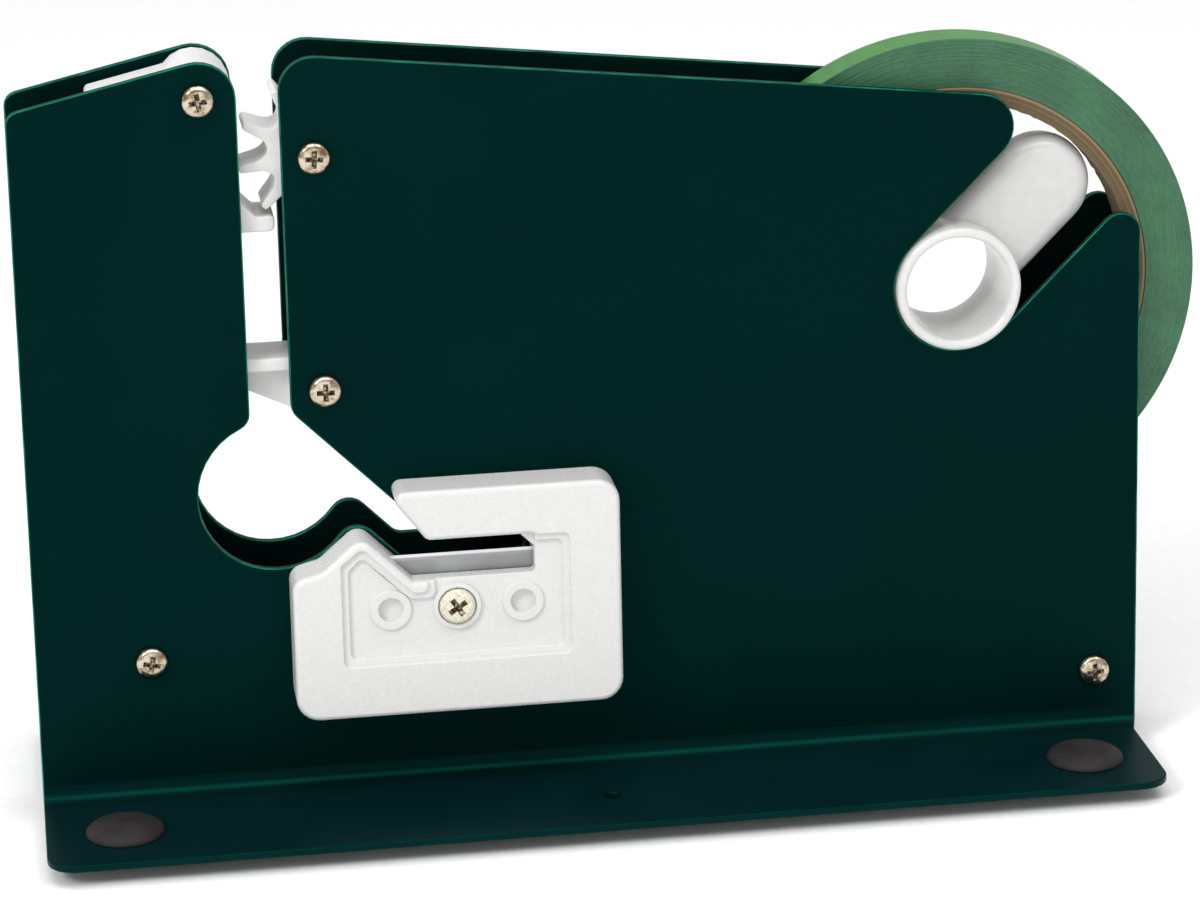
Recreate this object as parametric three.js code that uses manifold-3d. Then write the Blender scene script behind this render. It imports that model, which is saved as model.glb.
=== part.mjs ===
// Bag neck sealer: a countertop tool that wraps a strip of tape round the gathered neck of a
// bag and trims the tail. Two bent steel side plates stand back to back on rubber feet, and
// the star wheel, the two levers and the tape roll run between them.
//
// Millimetres, +Z up, the trimmer faces -Y. Pieces are laid out in the plate frame: X from the
// plates' left edge, Y from the front plate's outer face, Z from the flanges' upper face.

import * as THREE from 'three';
import { mergeVertices } from 'three/addons/utils/BufferGeometryUtils.js';
import Module from 'manifold-3d';

const wasm = await Module();
wasm.setup();

// Side plates
const plateLength = 232;
const sheet = 1.5;
const plateGap = 16.5;
const flangeDepth = 34.3;
const flangeEndInset = 1.3;
const bendRadius = 4;
const flangeCornerRadius = 6;

// Left column, between the outer edge and the bag slot
const slotLeft = 45.9;
const columnTopRadius = 7.7;
const columnTopAngle = 12.9;
const columnCornerRadius = 3;
const pressPivotDrop = 8.6;

// Bag slot, throat and the chute that leads from the throat to the trimming slot
const slotWidth = 8.4;
const throatRadius = 15.9;
const throatHeight = 63.4;
const throatOffset = 4.7;
const throatLipRadius = 3.5;
const humpRadius = 4.3;
const humpAngle = -37;
const chuteWidth = 7.8;
const chuteAngle = 45;
const chuteFloorRadius = 3;
const chuteRoofRadius = 1.5;
const slotFootRadius = 4;
const trimSlotHeight = 4.6;
const trimSlotEndInset = 1;

// Upper edge of the plates and the inclined slot for the tape hub
const topHeight = 155.4;
const topAngle = 6.32;
const topLeftRadius = 7;
const topRightRadius = 7.1;
const hubSlotAngle = 45;
const hubHeight = 98.6;
const hubInset = 38.8;
const peakRadius = 4.2;

// Screws and the round posts that hold the plates apart
const screwHeadRadius = 3.4;
const screwHeadHeight = 2.2;
const screwShankRadius = 1.75;
const screwReach = 6;
const recessWidth = 0.8;
const recessSpan = 3.4;
const recessDepth = 1.2;
const crownRimShare = 0.45;
const crownShares = [1, 0.97, 0.86, 0.62, 0.3];
const postRadius = 3.2;
const cornerPostRadius = 4.5;
const lowerLeftPostInset = 23.6;
const lowerLeftPostHeight = 29.2;
const lowerRightPostInset = 9.3;
const lowerRightPostHeight = 12.4;

// Star wheel
const starTeeth = 10;
const starTipRadius = 15;
const starRootRadius = 9;
const starWidth = 11;
const starBossRadius = 6.2;
const starAxleDrop = 21.5;
const starAxleOffset = 6.6;
const starPhase = 12.4;
const starHook = 1.2;
const toothTipAngle = 5.6;
const gulletAngle = 20;
const gulletRadius = 1.9;
const toothTipRadius = 0.5;

// Press lever, hung in the left column, whose finger holds the bag neck against the star wheel
const leverWidth = 13;
const pressBossRadius = 7.3;
const pressArmLeft = 36.4;
const pressArmWidth = 7.2;
const fingerReach = 52.8;
const fingerDrop = 15.7;
const fingerHeight = 3.2;
const fingerRootHeight = 8.6;
const pressTailReach = 21.5;
const pressTailDrop = 1.9;
const pressTailThickness = 3.2;
const leverEdgeRadius = 1.2;

// Gate lever, which crosses the bag slot above the throat and carries the tape cutter
const gateAxleRise = 21.7;
const gateAxleOffset = 7.1;
const gateBossRadius = 6.4;
const gateReach = 17;
const gateTopThickness = 2.8;
const gateEndHeight = 6.6;
const gateRootDrop = 5.2;
const gateWebSetback = 3;
const gateTailReach = 13;
const gateTailThickness = 4.4;

// Tape cutter, a toothed strip in the gate lever's tail
const cutterThickness = 0.6;
const cutterWidth = 11;
const cutterHeight = 8;
const cutterTeeth = 8;
const cutterToothDepth = 0.9;
const cutterSeatDepth = 2.6;
const cutterInset = 2.2;

// Torsion springs that bring both levers back
const springWire = 0.8;
const springTurns = 4;
const springPitch = 1.35;
const springLeg = 2.2;
const springRadius = 4.15;
const springSteps = 8;
const springSides = 5;
const springCupDepth = 7.6;

// Tape hub
const hubTubeRadius = 13.1;
const hubWall = 2.1;
const hubOverhang = 1.95;
const hubLipRadius = 0.9;
const hubArmWidth = 21;
const hubArmReach = 37.8;
const hubArmEdge = 1.6;

// Tape roll
const tapeWidth = 9.5;
const coreBore = 76.2;
const coreWall = 3.3;
const rollRadius = 51.6;

// Trimmer housing
const trimmerOffset = 6.6;
const trimmerWidth = 67.8;
const windowHeight = 8.5;
const windowSillDrop = 1.6;
const trimmerDepth = 9.5;
const trimmerCornerRadius = 4.8;
const trimmerEdge = 1.2;
const trimmerColumnWidth = 17.8;
const trimmerArmHeight = 10.7;
const trimmerNoseInset = 19.8;
const trimmerNoseRun = 8;
const trimmerNoseRadius = 1.9;
const trimmerArmRadius = 1.8;
const trimmerSillHeight = 28.9;
const trimmerSillInset = 24.7;
const trimmerPeakInset = 14.4;
const trimmerPeakRadius = 3;
const trimmerShoulderInset = 6.2;
const trimmerShoulderRise = 3.2;
const trimmerShoulderRadius = 4;
const trimmerSideRise = 1.6;
const windowRadius = 0.8;
const windowWebReach = 3.1;
const windowWebSetback = 2;

// Recessed panel on the housing's face
const panelLeft = 10;
const panelBottom = 11.2;
const panelRight = 10.6;
const panelStep = 0.8;
const panelLedge = 1.5;
const panelRadius = 1.4;
const panelRim = 1.7;
const panelShoulderRise = 4.3;
const stripEndDrop = 2.4;
const stripEndRun = 3;
const pegRingRadius = 4.3;
const pegRingBore = 2.6;
const pegRingHeight = 0.6;
const pegPitDepth = 1;
const pegSpacing = 13.65;
const pegRadius = 1.9;
const pegReach = 1.2;
const trimmerScrewInset = 33.7;
const trimmerScrewDrop = 6.1;
const screwBossRadius = 5;
const screwBossHeight = 0.8;
const trimmerHeadRadius = 3.7;
const trimmerHeadHeight = 2;
const trimmerHeadSunk = 1;
const trimmerShankRadius = 2;
const nutAcrossFlats = 8;
const nutHeight = 3.2;
const nutSides = 6;

// Trimmer blade
const bladeLength = 38.1;
const bladeHeight = 19;
const bladeThickness = 0.3;
const bladeRise = 2.6;
const bladeBevel = 1.2;
const bladeEdgeThickness = 0.06;
const bladeSetback = 4.2;

// Rubber feet and the bench screw holes in the flanges
const footInset = 16;
const footSetback = 19;
const footHeadRadius = 7.95;
const footHeadHeight = 3;
const footCrownShares = [[0, 1], [0.38, 0.93], [0.68, 0.74], [0.88, 0.46], [1, 0.12]];
const footStemRadius = 4.4;
const footPadRadius = 7.5;
const footPadHeight = 3.5;
const footPadEdge = 0.6;
const benchHoleRadius = 1.65;

// Clearances
const clearance = 0.3;
const sheetClearance = 0.15;
const cutOverrun = 1;

// Facets
const facetSag = 0.05;
const facetAngleLimit = 22.5;
const edgeSteps = 3;
const mergeTolerance = 1e-4;
const endRoundingShare = 0.99;
const roundSides = 20;
const screwSides = 12;
const rollSides = 60;

const rad = THREE.MathUtils.degToRad;
const backFace = sheet * 2 + plateGap;
const slotRight = slotLeft + slotWidth;
const midY = backFace / 2;
const pressPivotX = slotLeft - columnTopRadius;
const starAxleX = slotRight + starAxleOffset;
const gateAxleX = slotRight + gateAxleOffset;
const hubX = plateLength - hubInset;
const pressPivotHeight = topHeight - pressPivotDrop;
const starAxleHeight = topHeight - starAxleDrop;
const gateAxleHeight = throatHeight + gateAxleRise;
const fingerBottom = starAxleHeight - fingerDrop;
const trimSlotFloor = throatHeight - throatRadius;
const trimmerLeft = slotLeft + trimmerOffset;
const trimmerSill = trimSlotFloor - windowSillDrop;
const trimmerBottom = trimmerSill - trimmerSillHeight;
const trimmerTop = trimmerSill + windowHeight + trimmerArmHeight;
const windowRightEnd = trimmerLeft + trimmerWidth - trimmerColumnWidth;
const trimSlotEnd = windowRightEnd - trimSlotEndInset;
const bladeTop = trimSlotFloor + bladeRise;

// Outlines

// How many facets an arc needs to stay within the sag of the true curve.
function arcSteps(radius, sweepAngle) {
  const step = THREE.MathUtils.radToDeg(2 * Math.acos(Math.max(0, 1 - facetSag / radius)));
  return Math.max(2, Math.ceil(Math.abs(sweepAngle) / Math.min(step, facetAngleLimit)));
}

function arcPoints(cx, cz, radius, fromAngle, toAngle) {
  const count = arcSteps(radius, toAngle - fromAngle);
  const points = [];
  for (let i = 0; i <= count; i++) {
    const a = rad(fromAngle + (toAngle - fromAngle) * i / count);
    points.push([cx + radius * Math.cos(a), cz + radius * Math.sin(a)]);
  }
  return points;
}

// Corners are [x, z] or [x, z, radius]. A radius becomes an arc tangent to both sides.
function roundedOutline(corners) {
  const points = [];
  corners.forEach(([x, z, radius = 0], i) => {
    if (radius === 0) {
      points.push(new THREE.Vector2(x, z));
      return;
    }
    const corner = new THREE.Vector2(x, z);
    const before = corners[(i + corners.length - 1) % corners.length];
    const after = corners[(i + 1) % corners.length];
    const u = new THREE.Vector2(before[0] - x, before[1] - z).normalize();
    const v = new THREE.Vector2(after[0] - x, after[1] - z).normalize();
    const half = Math.acos(THREE.MathUtils.clamp(u.dot(v), -1, 1)) / 2;
    const centre = corner.clone().addScaledVector(u.clone().add(v).normalize(), radius / Math.sin(half));
    const start = corner.clone().addScaledVector(u, radius / Math.tan(half));
    const end = corner.clone().addScaledVector(v, radius / Math.tan(half));
    const from = Math.atan2(start.y - centre.y, start.x - centre.x);
    let sweep = Math.atan2(end.y - centre.y, end.x - centre.x) - from;
    sweep -= Math.round(sweep / (2 * Math.PI)) * 2 * Math.PI;
    const count = arcSteps(radius, THREE.MathUtils.radToDeg(sweep));
    for (let k = 0; k <= count; k++) {
      const a = from + sweep * k / count;
      points.push(new THREE.Vector2(centre.x + radius * Math.cos(a), centre.y + radius * Math.sin(a)));
    }
  });
  return points;
}

function boxCorners(left, right, bottom, top, radius = 0) {
  return [[left, bottom, radius], [right, bottom, radius], [right, top, radius], [left, top, radius]];
}

// Solids

// A closed body from a three.js geometry: shared vertices merged, slivers at the poles dropped
// and the faces turned outwards.
function solid(geometry) {
  geometry.deleteAttribute('normal');
  geometry.deleteAttribute('uv');
  const merged = mergeVertices(geometry, mergeTolerance);
  const position = merged.getAttribute('position');
  const source = merged.getIndex().array;
  const kept = [];
  let volume = 0;
  const a = new THREE.Vector3();
  const b = new THREE.Vector3();
  const c = new THREE.Vector3();
  for (let i = 0; i < source.length; i += 3) {
    const [p, q, r] = [source[i], source[i + 1], source[i + 2]];
    if (p === q || q === r || r === p) continue;
    kept.push(p, q, r);
    a.fromBufferAttribute(position, p);
    b.fromBufferAttribute(position, q);
    c.fromBufferAttribute(position, r);
    volume += a.dot(b.cross(c));
  }
  if (volume < 0) kept.reverse();
  return new wasm.Manifold(new wasm.Mesh({
    numProp: 3,
    vertProperties: new Float32Array(position.array),
    triVerts: new Uint32Array(kept),
  }));
}

// Extrudes an X-Z outline along Y.
function wall(points, fromY, toY) {
  const geometry = new THREE.ExtrudeGeometry(new THREE.Shape(points), {
    depth: toY - fromY,
    bevelEnabled: false,
  });
  geometry.rotateX(Math.PI / 2);
  geometry.translate(0, toY, 0);
  return solid(geometry);
}

// Extrudes an X-Z outline along Y, with edges rounded inside the outline at both faces.
function softWall(points, fromY, toY, edge) {
  const geometry = new THREE.ExtrudeGeometry(new THREE.Shape(points), {
    depth: toY - fromY - 2 * edge,
    bevelEnabled: true,
    bevelThickness: edge,
    bevelSize: edge,
    bevelOffset: -edge,
    bevelSegments: edgeSteps,
  });
  geometry.rotateX(Math.PI / 2);
  geometry.translate(0, toY - edge, 0);
  return solid(geometry);
}

// Extrudes an X-Y outline up Z.
function slab(points, fromZ, toZ) {
  const geometry = new THREE.ExtrudeGeometry(new THREE.Shape(points), {
    depth: toZ - fromZ,
    bevelEnabled: false,
  });
  geometry.translate(0, 0, fromZ);
  return solid(geometry);
}

// Extrudes a Y-Z outline along X.
function bar(points, fromX, toX) {
  const geometry = new THREE.ExtrudeGeometry(new THREE.Shape(points), {
    depth: toX - fromX,
    bevelEnabled: false,
  });
  const turn = new THREE.Matrix4().makeBasis(
    new THREE.Vector3(0, 1, 0), new THREE.Vector3(0, 0, 1), new THREE.Vector3(1, 0, 0));
  geometry.applyMatrix4(turn);
  geometry.translate(fromX, 0, 0);
  return solid(geometry);
}

// A round piece about a Y axis, from a profile of [radius, y] pairs.
function turned(profile, x, z, sides = roundSides) {
  const geometry = new THREE.LatheGeometry(profile.map(([r, y]) => new THREE.Vector2(r, y)), sides);
  geometry.translate(x, 0, z);
  return solid(geometry);
}

// A round rod or hole along Y.
function rod(x, z, radius, fromY, toY, sides = roundSides) {
  const geometry = new THREE.CylinderGeometry(radius, radius, toY - fromY, sides);
  geometry.translate(x, (fromY + toY) / 2, z);
  return solid(geometry);
}

// A round hole up Z.
function bore(x, y, radius, fromZ, toZ, sides = roundSides) {
  const geometry = new THREE.CylinderGeometry(radius, radius, toZ - fromZ, sides);
  geometry.rotateX(Math.PI / 2);
  geometry.translate(x, y, (fromZ + toZ) / 2);
  return solid(geometry);
}

function block(fromX, toX, fromY, toY, fromZ, toZ) {
  const geometry = new THREE.BoxGeometry(toX - fromX, toY - fromY, toZ - fromZ);
  geometry.translate((fromX + toX) / 2, (fromY + toY) / 2, (fromZ + toZ) / 2);
  return solid(geometry);
}

// A wire of round section along a list of points, with flat ends.
function wire(points, radius, sides) {
  const positions = [];
  const indices = [];
  const normal = new THREE.Vector3();
  points.forEach((point, i) => {
    const before = points[Math.max(i - 1, 0)];
    const after = points[Math.min(i + 1, points.length - 1)];
    const along = after.clone().sub(before).normalize();
    if (i === 0) normal.set(0, 1, 0);
    normal.addScaledVector(along, -normal.dot(along)).normalize();
    const side = new THREE.Vector3().crossVectors(along, normal);
    for (let k = 0; k < sides; k++) {
      const a = 2 * Math.PI * k / sides;
      positions.push(...point.clone()
        .addScaledVector(normal, radius * Math.cos(a))
        .addScaledVector(side, radius * Math.sin(a)).toArray());
    }
  });
  for (let i = 0; i + 1 < points.length; i++) {
    for (let k = 0; k < sides; k++) {
      const p = i * sides + k;
      const q = i * sides + (k + 1) % sides;
      indices.push(p, q, q + sides, p, q + sides, p + sides);
    }
  }
  const last = (points.length - 1) * sides;
  for (let k = 1; k + 1 < sides; k++) {
    indices.push(0, k + 1, k, last, last + k, last + k + 1);
  }
  const geometry = new THREE.BufferGeometry();
  geometry.setAttribute('position', new THREE.Float32BufferAttribute(positions, 3));
  geometry.setIndex(indices);
  return solid(geometry);
}

// The object

const sealer = new THREE.Group();
sealer.name = 'bag_neck_sealer';

const enamel = { color: 0x01302a, roughness: 0.45, metalness: 0.1 };
const nickel = { color: 0xb9b4a6, roughness: 0.25, metalness: 1 };
const zinc = { color: 0xd9cf9a, roughness: 0.35, metalness: 0.9 };
const steel = { color: 0xa9acad, roughness: 0.3, metalness: 1 };
const whitePlastic = { color: 0xe9e9e6, roughness: 0.42, metalness: 0 };
const springSteel = { color: 0x8f9193, roughness: 0.35, metalness: 1 };
const kraft = { color: 0x8a6a4a, roughness: 0.9, metalness: 0 };
const greenTape = { color: 0x4f7f5c, roughness: 0.5, metalness: 0 };
const rubber = { color: 0x302c2e, roughness: 0.7, metalness: 0 };

function addPiece(name, body, finish) {
  const mesh = body.getMesh();
  const geometry = new THREE.BufferGeometry();
  geometry.setAttribute('position', new THREE.BufferAttribute(mesh.vertProperties, 3));
  geometry.setIndex(new THREE.BufferAttribute(mesh.triVerts, 1));
  geometry.computeVertexNormals();
  const piece = new THREE.Mesh(geometry, new THREE.MeshStandardMaterial(finish));
  piece.name = name;
  sealer.add(piece);
}

// Side plates

// The upright's outline in X-Z, shared by both plates.
function plateOutline() {
  const lean = rad(columnTopAngle);
  const fall = Math.tan(rad(topAngle));
  const columnEdge = (x) =>
    pressPivotHeight + (columnTopRadius + (x - pressPivotX) * Math.sin(lean)) / Math.cos(lean);

  const throatX = slotLeft + throatOffset;
  const lipX = slotLeft - throatLipRadius;
  const lipReach = throatRadius + throatLipRadius;
  const lipZ = throatHeight + Math.sqrt(lipReach ** 2 - (throatX - lipX) ** 2);
  const lipAngle = THREE.MathUtils.radToDeg(Math.atan2(lipZ - throatHeight, lipX - throatX));

  const humpX = throatX + (throatRadius + humpRadius) * Math.cos(rad(humpAngle));
  const humpZ = throatHeight + (throatRadius + humpRadius) * Math.sin(rad(humpAngle));
  const nx = Math.cos(rad(chuteAngle));
  const nz = Math.sin(rad(chuteAngle));
  const flank = humpX * nx + humpZ * nz + humpRadius;
  const roof = flank + chuteWidth;
  const trimSlotTop = trimSlotFloor + trimSlotHeight;

  const hx = Math.cos(rad(hubSlotAngle));
  const hz = Math.sin(rad(hubSlotAngle));
  const seatRadius = hubTubeRadius + clearance;
  const upperX = hubX - seatRadius * hz;
  const upperZ = hubHeight + seatRadius * hx;
  const lowerX = hubX + seatRadius * hz;
  const lowerZ = hubHeight - seatRadius * hx;
  const rise = hz / hx;
  const cornerX = (topHeight + fall * slotRight - upperZ + rise * upperX) / (rise + fall);
  const cornerZ = upperZ + rise * (cornerX - upperX);
  const peakZ = lowerZ + rise * (plateLength - lowerX);

  return roundedOutline([
    [0, -sheet - cutOverrun],
    [0, columnEdge(0), columnCornerRadius],
    [slotLeft, columnEdge(slotLeft), columnTopRadius],
    ...arcPoints(lipX, lipZ, throatLipRadius, 0, lipAngle - 180),
    ...arcPoints(throatX, throatHeight, throatRadius, lipAngle, 360 + humpAngle).slice(1),
    ...arcPoints(humpX, humpZ, humpRadius, 180 + humpAngle, chuteAngle).slice(1),
    [(flank - trimSlotFloor * nz) / nx, trimSlotFloor, chuteFloorRadius],
    [trimSlotEnd, trimSlotFloor, trimSlotHeight / 2 * endRoundingShare],
    [trimSlotEnd, trimSlotTop, trimSlotHeight / 2 * endRoundingShare],
    [(roof - trimSlotTop * nz) / nx, trimSlotTop, chuteRoofRadius],
    [slotRight, (roof - slotRight * nx) / nz, slotFootRadius],
    [slotRight, topHeight, topLeftRadius],
    [cornerX, cornerZ, topRightRadius],
    ...arcPoints(hubX, hubHeight, seatRadius, 90 + hubSlotAngle, 270 + hubSlotAngle),
    [plateLength, peakZ, peakRadius],
    [plateLength, -sheet - cutOverrun],
  ]);
}

// The bent sheet in Y-Z: an upright and a flange that turns outwards. Side is -1 for the front
// plate and 1 for the rear one.
function sheetSection(outerFace, side) {
  const at = (y, z) => new THREE.Vector2(outerFace + side * y, z);
  const bend = (radius) => arcPoints(bendRadius, bendRadius, radius, 180, 270)
    .map(([y, z]) => at(y, z));
  return [
    at(0, topHeight + cutOverrun),
    ...bend(bendRadius),
    at(flangeDepth, 0),
    at(flangeDepth, -sheet),
    ...bend(bendRadius + sheet).reverse(),
    at(-sheet, topHeight + cutOverrun),
  ];
}

const postPlaces = {
  press_axle: [pressPivotX, pressPivotHeight, postRadius],
  star_axle: [starAxleX, starAxleHeight, postRadius],
  gate_axle: [gateAxleX, gateAxleHeight, postRadius],
  lower_left_spacer: [lowerLeftPostInset, lowerLeftPostHeight, cornerPostRadius],
  lower_right_spacer: [plateLength - lowerRightPostInset, lowerRightPostHeight, cornerPostRadius],
};

const trimmerScrewX = trimmerLeft + trimmerScrewInset;
const trimmerScrewZ = trimmerSill - trimmerScrewDrop;
const pegPlaces = [trimmerScrewX - pegSpacing, trimmerScrewX + pegSpacing];

function sidePlate(outerFace, side) {
  const front = side < 0;
  const low = front ? -flangeDepth : backFace - sheet;
  const high = front ? sheet : backFace + flangeDepth;
  const end = plateLength - flangeEndInset;
  const blendStart = outerFace + side * bendRadius;
  const edge = front ? low : high;
  const plan = [
    [0, front ? high : low], [plateLength, front ? high : low], [plateLength, outerFace],
    [end, blendStart, bendRadius], [end, edge, flangeCornerRadius], [0, edge, flangeCornerRadius],
  ];
  let body = bar(sheetSection(outerFace, side), -cutOverrun, plateLength + cutOverrun)
    .intersect(wall(plateOutline(), low - cutOverrun, high + cutOverrun))
    .intersect(slab(roundedOutline(plan), -sheet - cutOverrun, topHeight + cutOverrun));
  const holes = Object.values(postPlaces)
    .map(([x, z]) => rod(x, z, screwShankRadius + clearance, low, high, screwSides));
  if (front) {
    holes.push(rod(trimmerScrewX, trimmerScrewZ, trimmerShankRadius + clearance, low, high));
    pegPlaces.forEach((x) => holes.push(rod(x, trimmerScrewZ, pegRadius + clearance, low, high)));
  }
  const holeY = outerFace + side * footSetback;
  const bottom = -sheet - cutOverrun;
  holes.push(bore(plateLength / 2, holeY, benchHoleRadius, bottom, cutOverrun, screwSides));
  [footInset, plateLength - footInset].forEach((x) => {
    holes.push(bore(x, holeY, footStemRadius + clearance, bottom, cutOverrun));
  });
  holes.forEach((hole) => {
    body = body.subtract(hole);
  });
  return body;
}

addPiece('front_side_plate', sidePlate(0, -1), enamel);
addPiece('rear_side_plate', sidePlate(backFace, 1), enamel);

// Spacer posts and their screws

function post(x, z, radius) {
  const hole = screwShankRadius + clearance;
  const near = sheet;
  const far = backFace - sheet;
  const depth = screwReach + cutOverrun;
  return turned([
    [0, near + depth], [hole, near + depth], [hole, near], [radius, near],
    [radius, far], [hole, far], [hole, far - depth], [0, far - depth],
  ], x, z);
}

// A pan head screw whose head stands on a face and whose shank runs inwards.
function panScrew(x, z, face, inward, size) {
  const { head, height, shank, reach } = size;
  const y = (distance) => face + inward * distance;
  const crown = crownShares.map((share, i) => {
    const lift = THREE.MathUtils.lerp(crownRimShare, 1, i / (crownShares.length - 1));
    return [head * share, y(-height * lift)];
  });
  const body = turned([
    [0, y(reach)], [shank, y(reach)], [shank, y(0)], [head, y(0)], ...crown, [0, y(-height)],
  ], x, z, screwSides);
  const [low, high] = [y(-height - cutOverrun), y(-height + recessDepth)].sort((p, q) => p - q);
  const arm = recessSpan / 2;
  const half = recessWidth / 2;
  return body
    .subtract(block(x - arm, x + arm, low, high, z - half, z + half))
    .subtract(block(x - half, x + half, low, high, z - arm, z + arm));
}

const plateScrew = {
  head: screwHeadRadius,
  height: screwHeadHeight,
  shank: screwShankRadius,
  reach: sheet + screwReach,
};

Object.entries(postPlaces).forEach(([name, [x, z, radius]]) => {
  addPiece(name, post(x, z, radius), steel);
  addPiece(`${name}_screw_front`, panScrew(x, z, 0, 1, plateScrew), nickel);
  addPiece(`${name}_screw_rear`, panScrew(x, z, backFace, -1, plateScrew), nickel);
});

// Star wheel

function starOutline() {
  const pitch = 360 / starTeeth;
  const corners = [];
  const place = (radius, angle, rounding) => {
    corners.push([
      starAxleX + radius * Math.cos(rad(angle)),
      starAxleHeight + radius * Math.sin(rad(angle)),
      rounding,
    ]);
  };
  for (let i = 0; i < starTeeth; i++) {
    const angle = starPhase + pitch * i;
    place(starTipRadius, angle - toothTipAngle / 2 - starHook, toothTipRadius);
    place(starTipRadius, angle + toothTipAngle / 2 - starHook, toothTipRadius);
    place(starRootRadius, angle + (pitch - gulletAngle) / 2, gulletRadius);
    place(starRootRadius, angle + (pitch + gulletAngle) / 2, gulletRadius);
  }
  return roundedOutline(corners);
}

function starWheel() {
  const low = sheet + clearance;
  const high = backFace - sheet - clearance;
  return wall(starOutline(), midY - starWidth / 2, midY + starWidth / 2)
    .add(rod(starAxleX, starAxleHeight, starBossRadius, low, high))
    .subtract(rod(starAxleX, starAxleHeight, postRadius + clearance, low - cutOverrun, high + cutOverrun));
}

addPiece('star_wheel', starWheel(), whitePlastic);

// Levers

// A boss on a lever's pivot, with its axle hole and a cup for the spring in its rear face.
function pivotBoss(x, z, radius) {
  return rod(x, z, radius, sheet + clearance, backFace - sheet - clearance);
}

function pivotHoles(x, z) {
  const rear = backFace - sheet - clearance;
  const cup = springRadius + springWire / 2 + clearance;
  return rod(x, z, postRadius + clearance, 0, backFace)
    .add(rod(x, z, cup, rear - springCupDepth, rear + cutOverrun));
}

function pressLever() {
  const front = midY - leverWidth / 2;
  const rear = midY + leverWidth / 2;
  const armRight = pressArmLeft + pressArmWidth;
  const arm = roundedOutline([
    [pressArmLeft, pressPivotHeight],
    [pressArmLeft, fingerBottom + leverEdgeRadius * 2, leverEdgeRadius * 2],
    [armRight - leverEdgeRadius, fingerBottom, leverEdgeRadius],
    [fingerReach, fingerBottom, leverEdgeRadius],
    [fingerReach, fingerBottom + fingerHeight, leverEdgeRadius / 2],
    [armRight + fingerRootHeight - fingerHeight, fingerBottom + fingerHeight, leverEdgeRadius],
    [armRight, fingerBottom + fingerRootHeight],
    [armRight, pressPivotHeight],
  ]);
  const lean = rad(columnTopAngle);
  const along = (run, drop) => [
    pressPivotX - run * Math.cos(lean) - (columnTopRadius - drop) * Math.sin(lean),
    pressPivotHeight - run * Math.sin(lean) + (columnTopRadius - drop) * Math.cos(lean),
  ];
  const tail = roundedOutline([
    along(0, pressTailDrop),
    [...along(pressTailReach, pressTailDrop), leverEdgeRadius],
    [...along(pressTailReach, pressTailDrop + pressTailThickness), leverEdgeRadius],
    along(0, pressTailDrop + pressTailThickness),
  ]);
  return wall(arm, front, rear)
    .add(wall(tail, front, rear))
    .add(pivotBoss(pressPivotX, pressPivotHeight, pressBossRadius))
    .subtract(rod(starAxleX, starAxleHeight, starTipRadius + clearance, 0, backFace, rollSides))
    .subtract(pivotHoles(pressPivotX, pressPivotHeight));
}

addPiece('press_lever', pressLever(), whitePlastic);

function gateLever() {
  const front = midY - leverWidth / 2;
  const rear = midY + leverWidth / 2;
  const top = gateAxleHeight + gateBossRadius;
  const left = gateAxleX - gateReach;
  const right = gateAxleX + gateTailReach;
  const blade = roundedOutline([
    [left, top, leverEdgeRadius],
    [left, top - gateEndHeight, leverEdgeRadius],
    [gateAxleX - gateBossRadius, gateAxleHeight - gateRootDrop],
    [gateAxleX, gateAxleHeight - gateBossRadius / 2],
    [right, top - gateTailThickness, leverEdgeRadius],
    [right, top, leverEdgeRadius],
  ]);
  const web = block(left - cutOverrun, gateAxleX - gateBossRadius, front - cutOverrun,
    front + gateWebSetback, gateAxleHeight - gateBossRadius, top - gateTopThickness);
  const slit = cutterThickness / 2 + clearance;
  const slitX = right - cutterInset;
  return wall(blade, front, rear)
    .subtract(web)
    .add(pivotBoss(gateAxleX, gateAxleHeight, gateBossRadius))
    .subtract(block(slitX - slit, slitX + slit, front - cutOverrun, rear + cutOverrun,
      top - cutterSeatDepth - clearance, top + cutOverrun))
    .subtract(pivotHoles(gateAxleX, gateAxleHeight));
}

addPiece('gate_lever', gateLever(), whitePlastic);

function tapeCutter() {
  const base = gateAxleHeight + gateBossRadius - cutterSeatDepth;
  const top = base + cutterHeight;
  const left = midY - cutterWidth / 2;
  const pitch = cutterWidth / cutterTeeth;
  const outline = [new THREE.Vector2(left, base), new THREE.Vector2(left + cutterWidth, base)];
  for (let i = cutterTeeth; i > 0; i--) {
    outline.push(new THREE.Vector2(left + pitch * i, top - cutterToothDepth));
    outline.push(new THREE.Vector2(left + pitch * i - pitch / 2, top));
  }
  outline.push(new THREE.Vector2(left, top - cutterToothDepth));
  const x = gateAxleX + gateTailReach - cutterInset;
  return bar(outline, x - cutterThickness / 2, x + cutterThickness / 2);
}

addPiece('tape_cutter_blade', tapeCutter(), steel);

// Springs

// A coil round a pivot, wound towards the rear plate, with a straight leg at each end.
function torsionSpringPath(x, z) {
  const rear = backFace - sheet - clearance;
  const start = rear - springCupDepth + clearance + springWire / 2;
  const steps = springSteps * springTurns;
  const coil = [];
  for (let i = 0; i <= steps; i++) {
    const turns = i / springSteps;
    const a = 2 * Math.PI * turns;
    coil.push(new THREE.Vector3(
      x + springRadius * Math.cos(a), start + springPitch * turns, z + springRadius * Math.sin(a)));
  }
  const inset = springRadius * (1 - Math.cos(2 * Math.PI / springSteps));
  const first = coil[0].clone().add(new THREE.Vector3(-inset / 2, 0, -springLeg / 2));
  const last = coil[steps].clone().add(new THREE.Vector3(-inset / 2, 0, springLeg / 2));
  return [first, ...coil, last];
}

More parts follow.
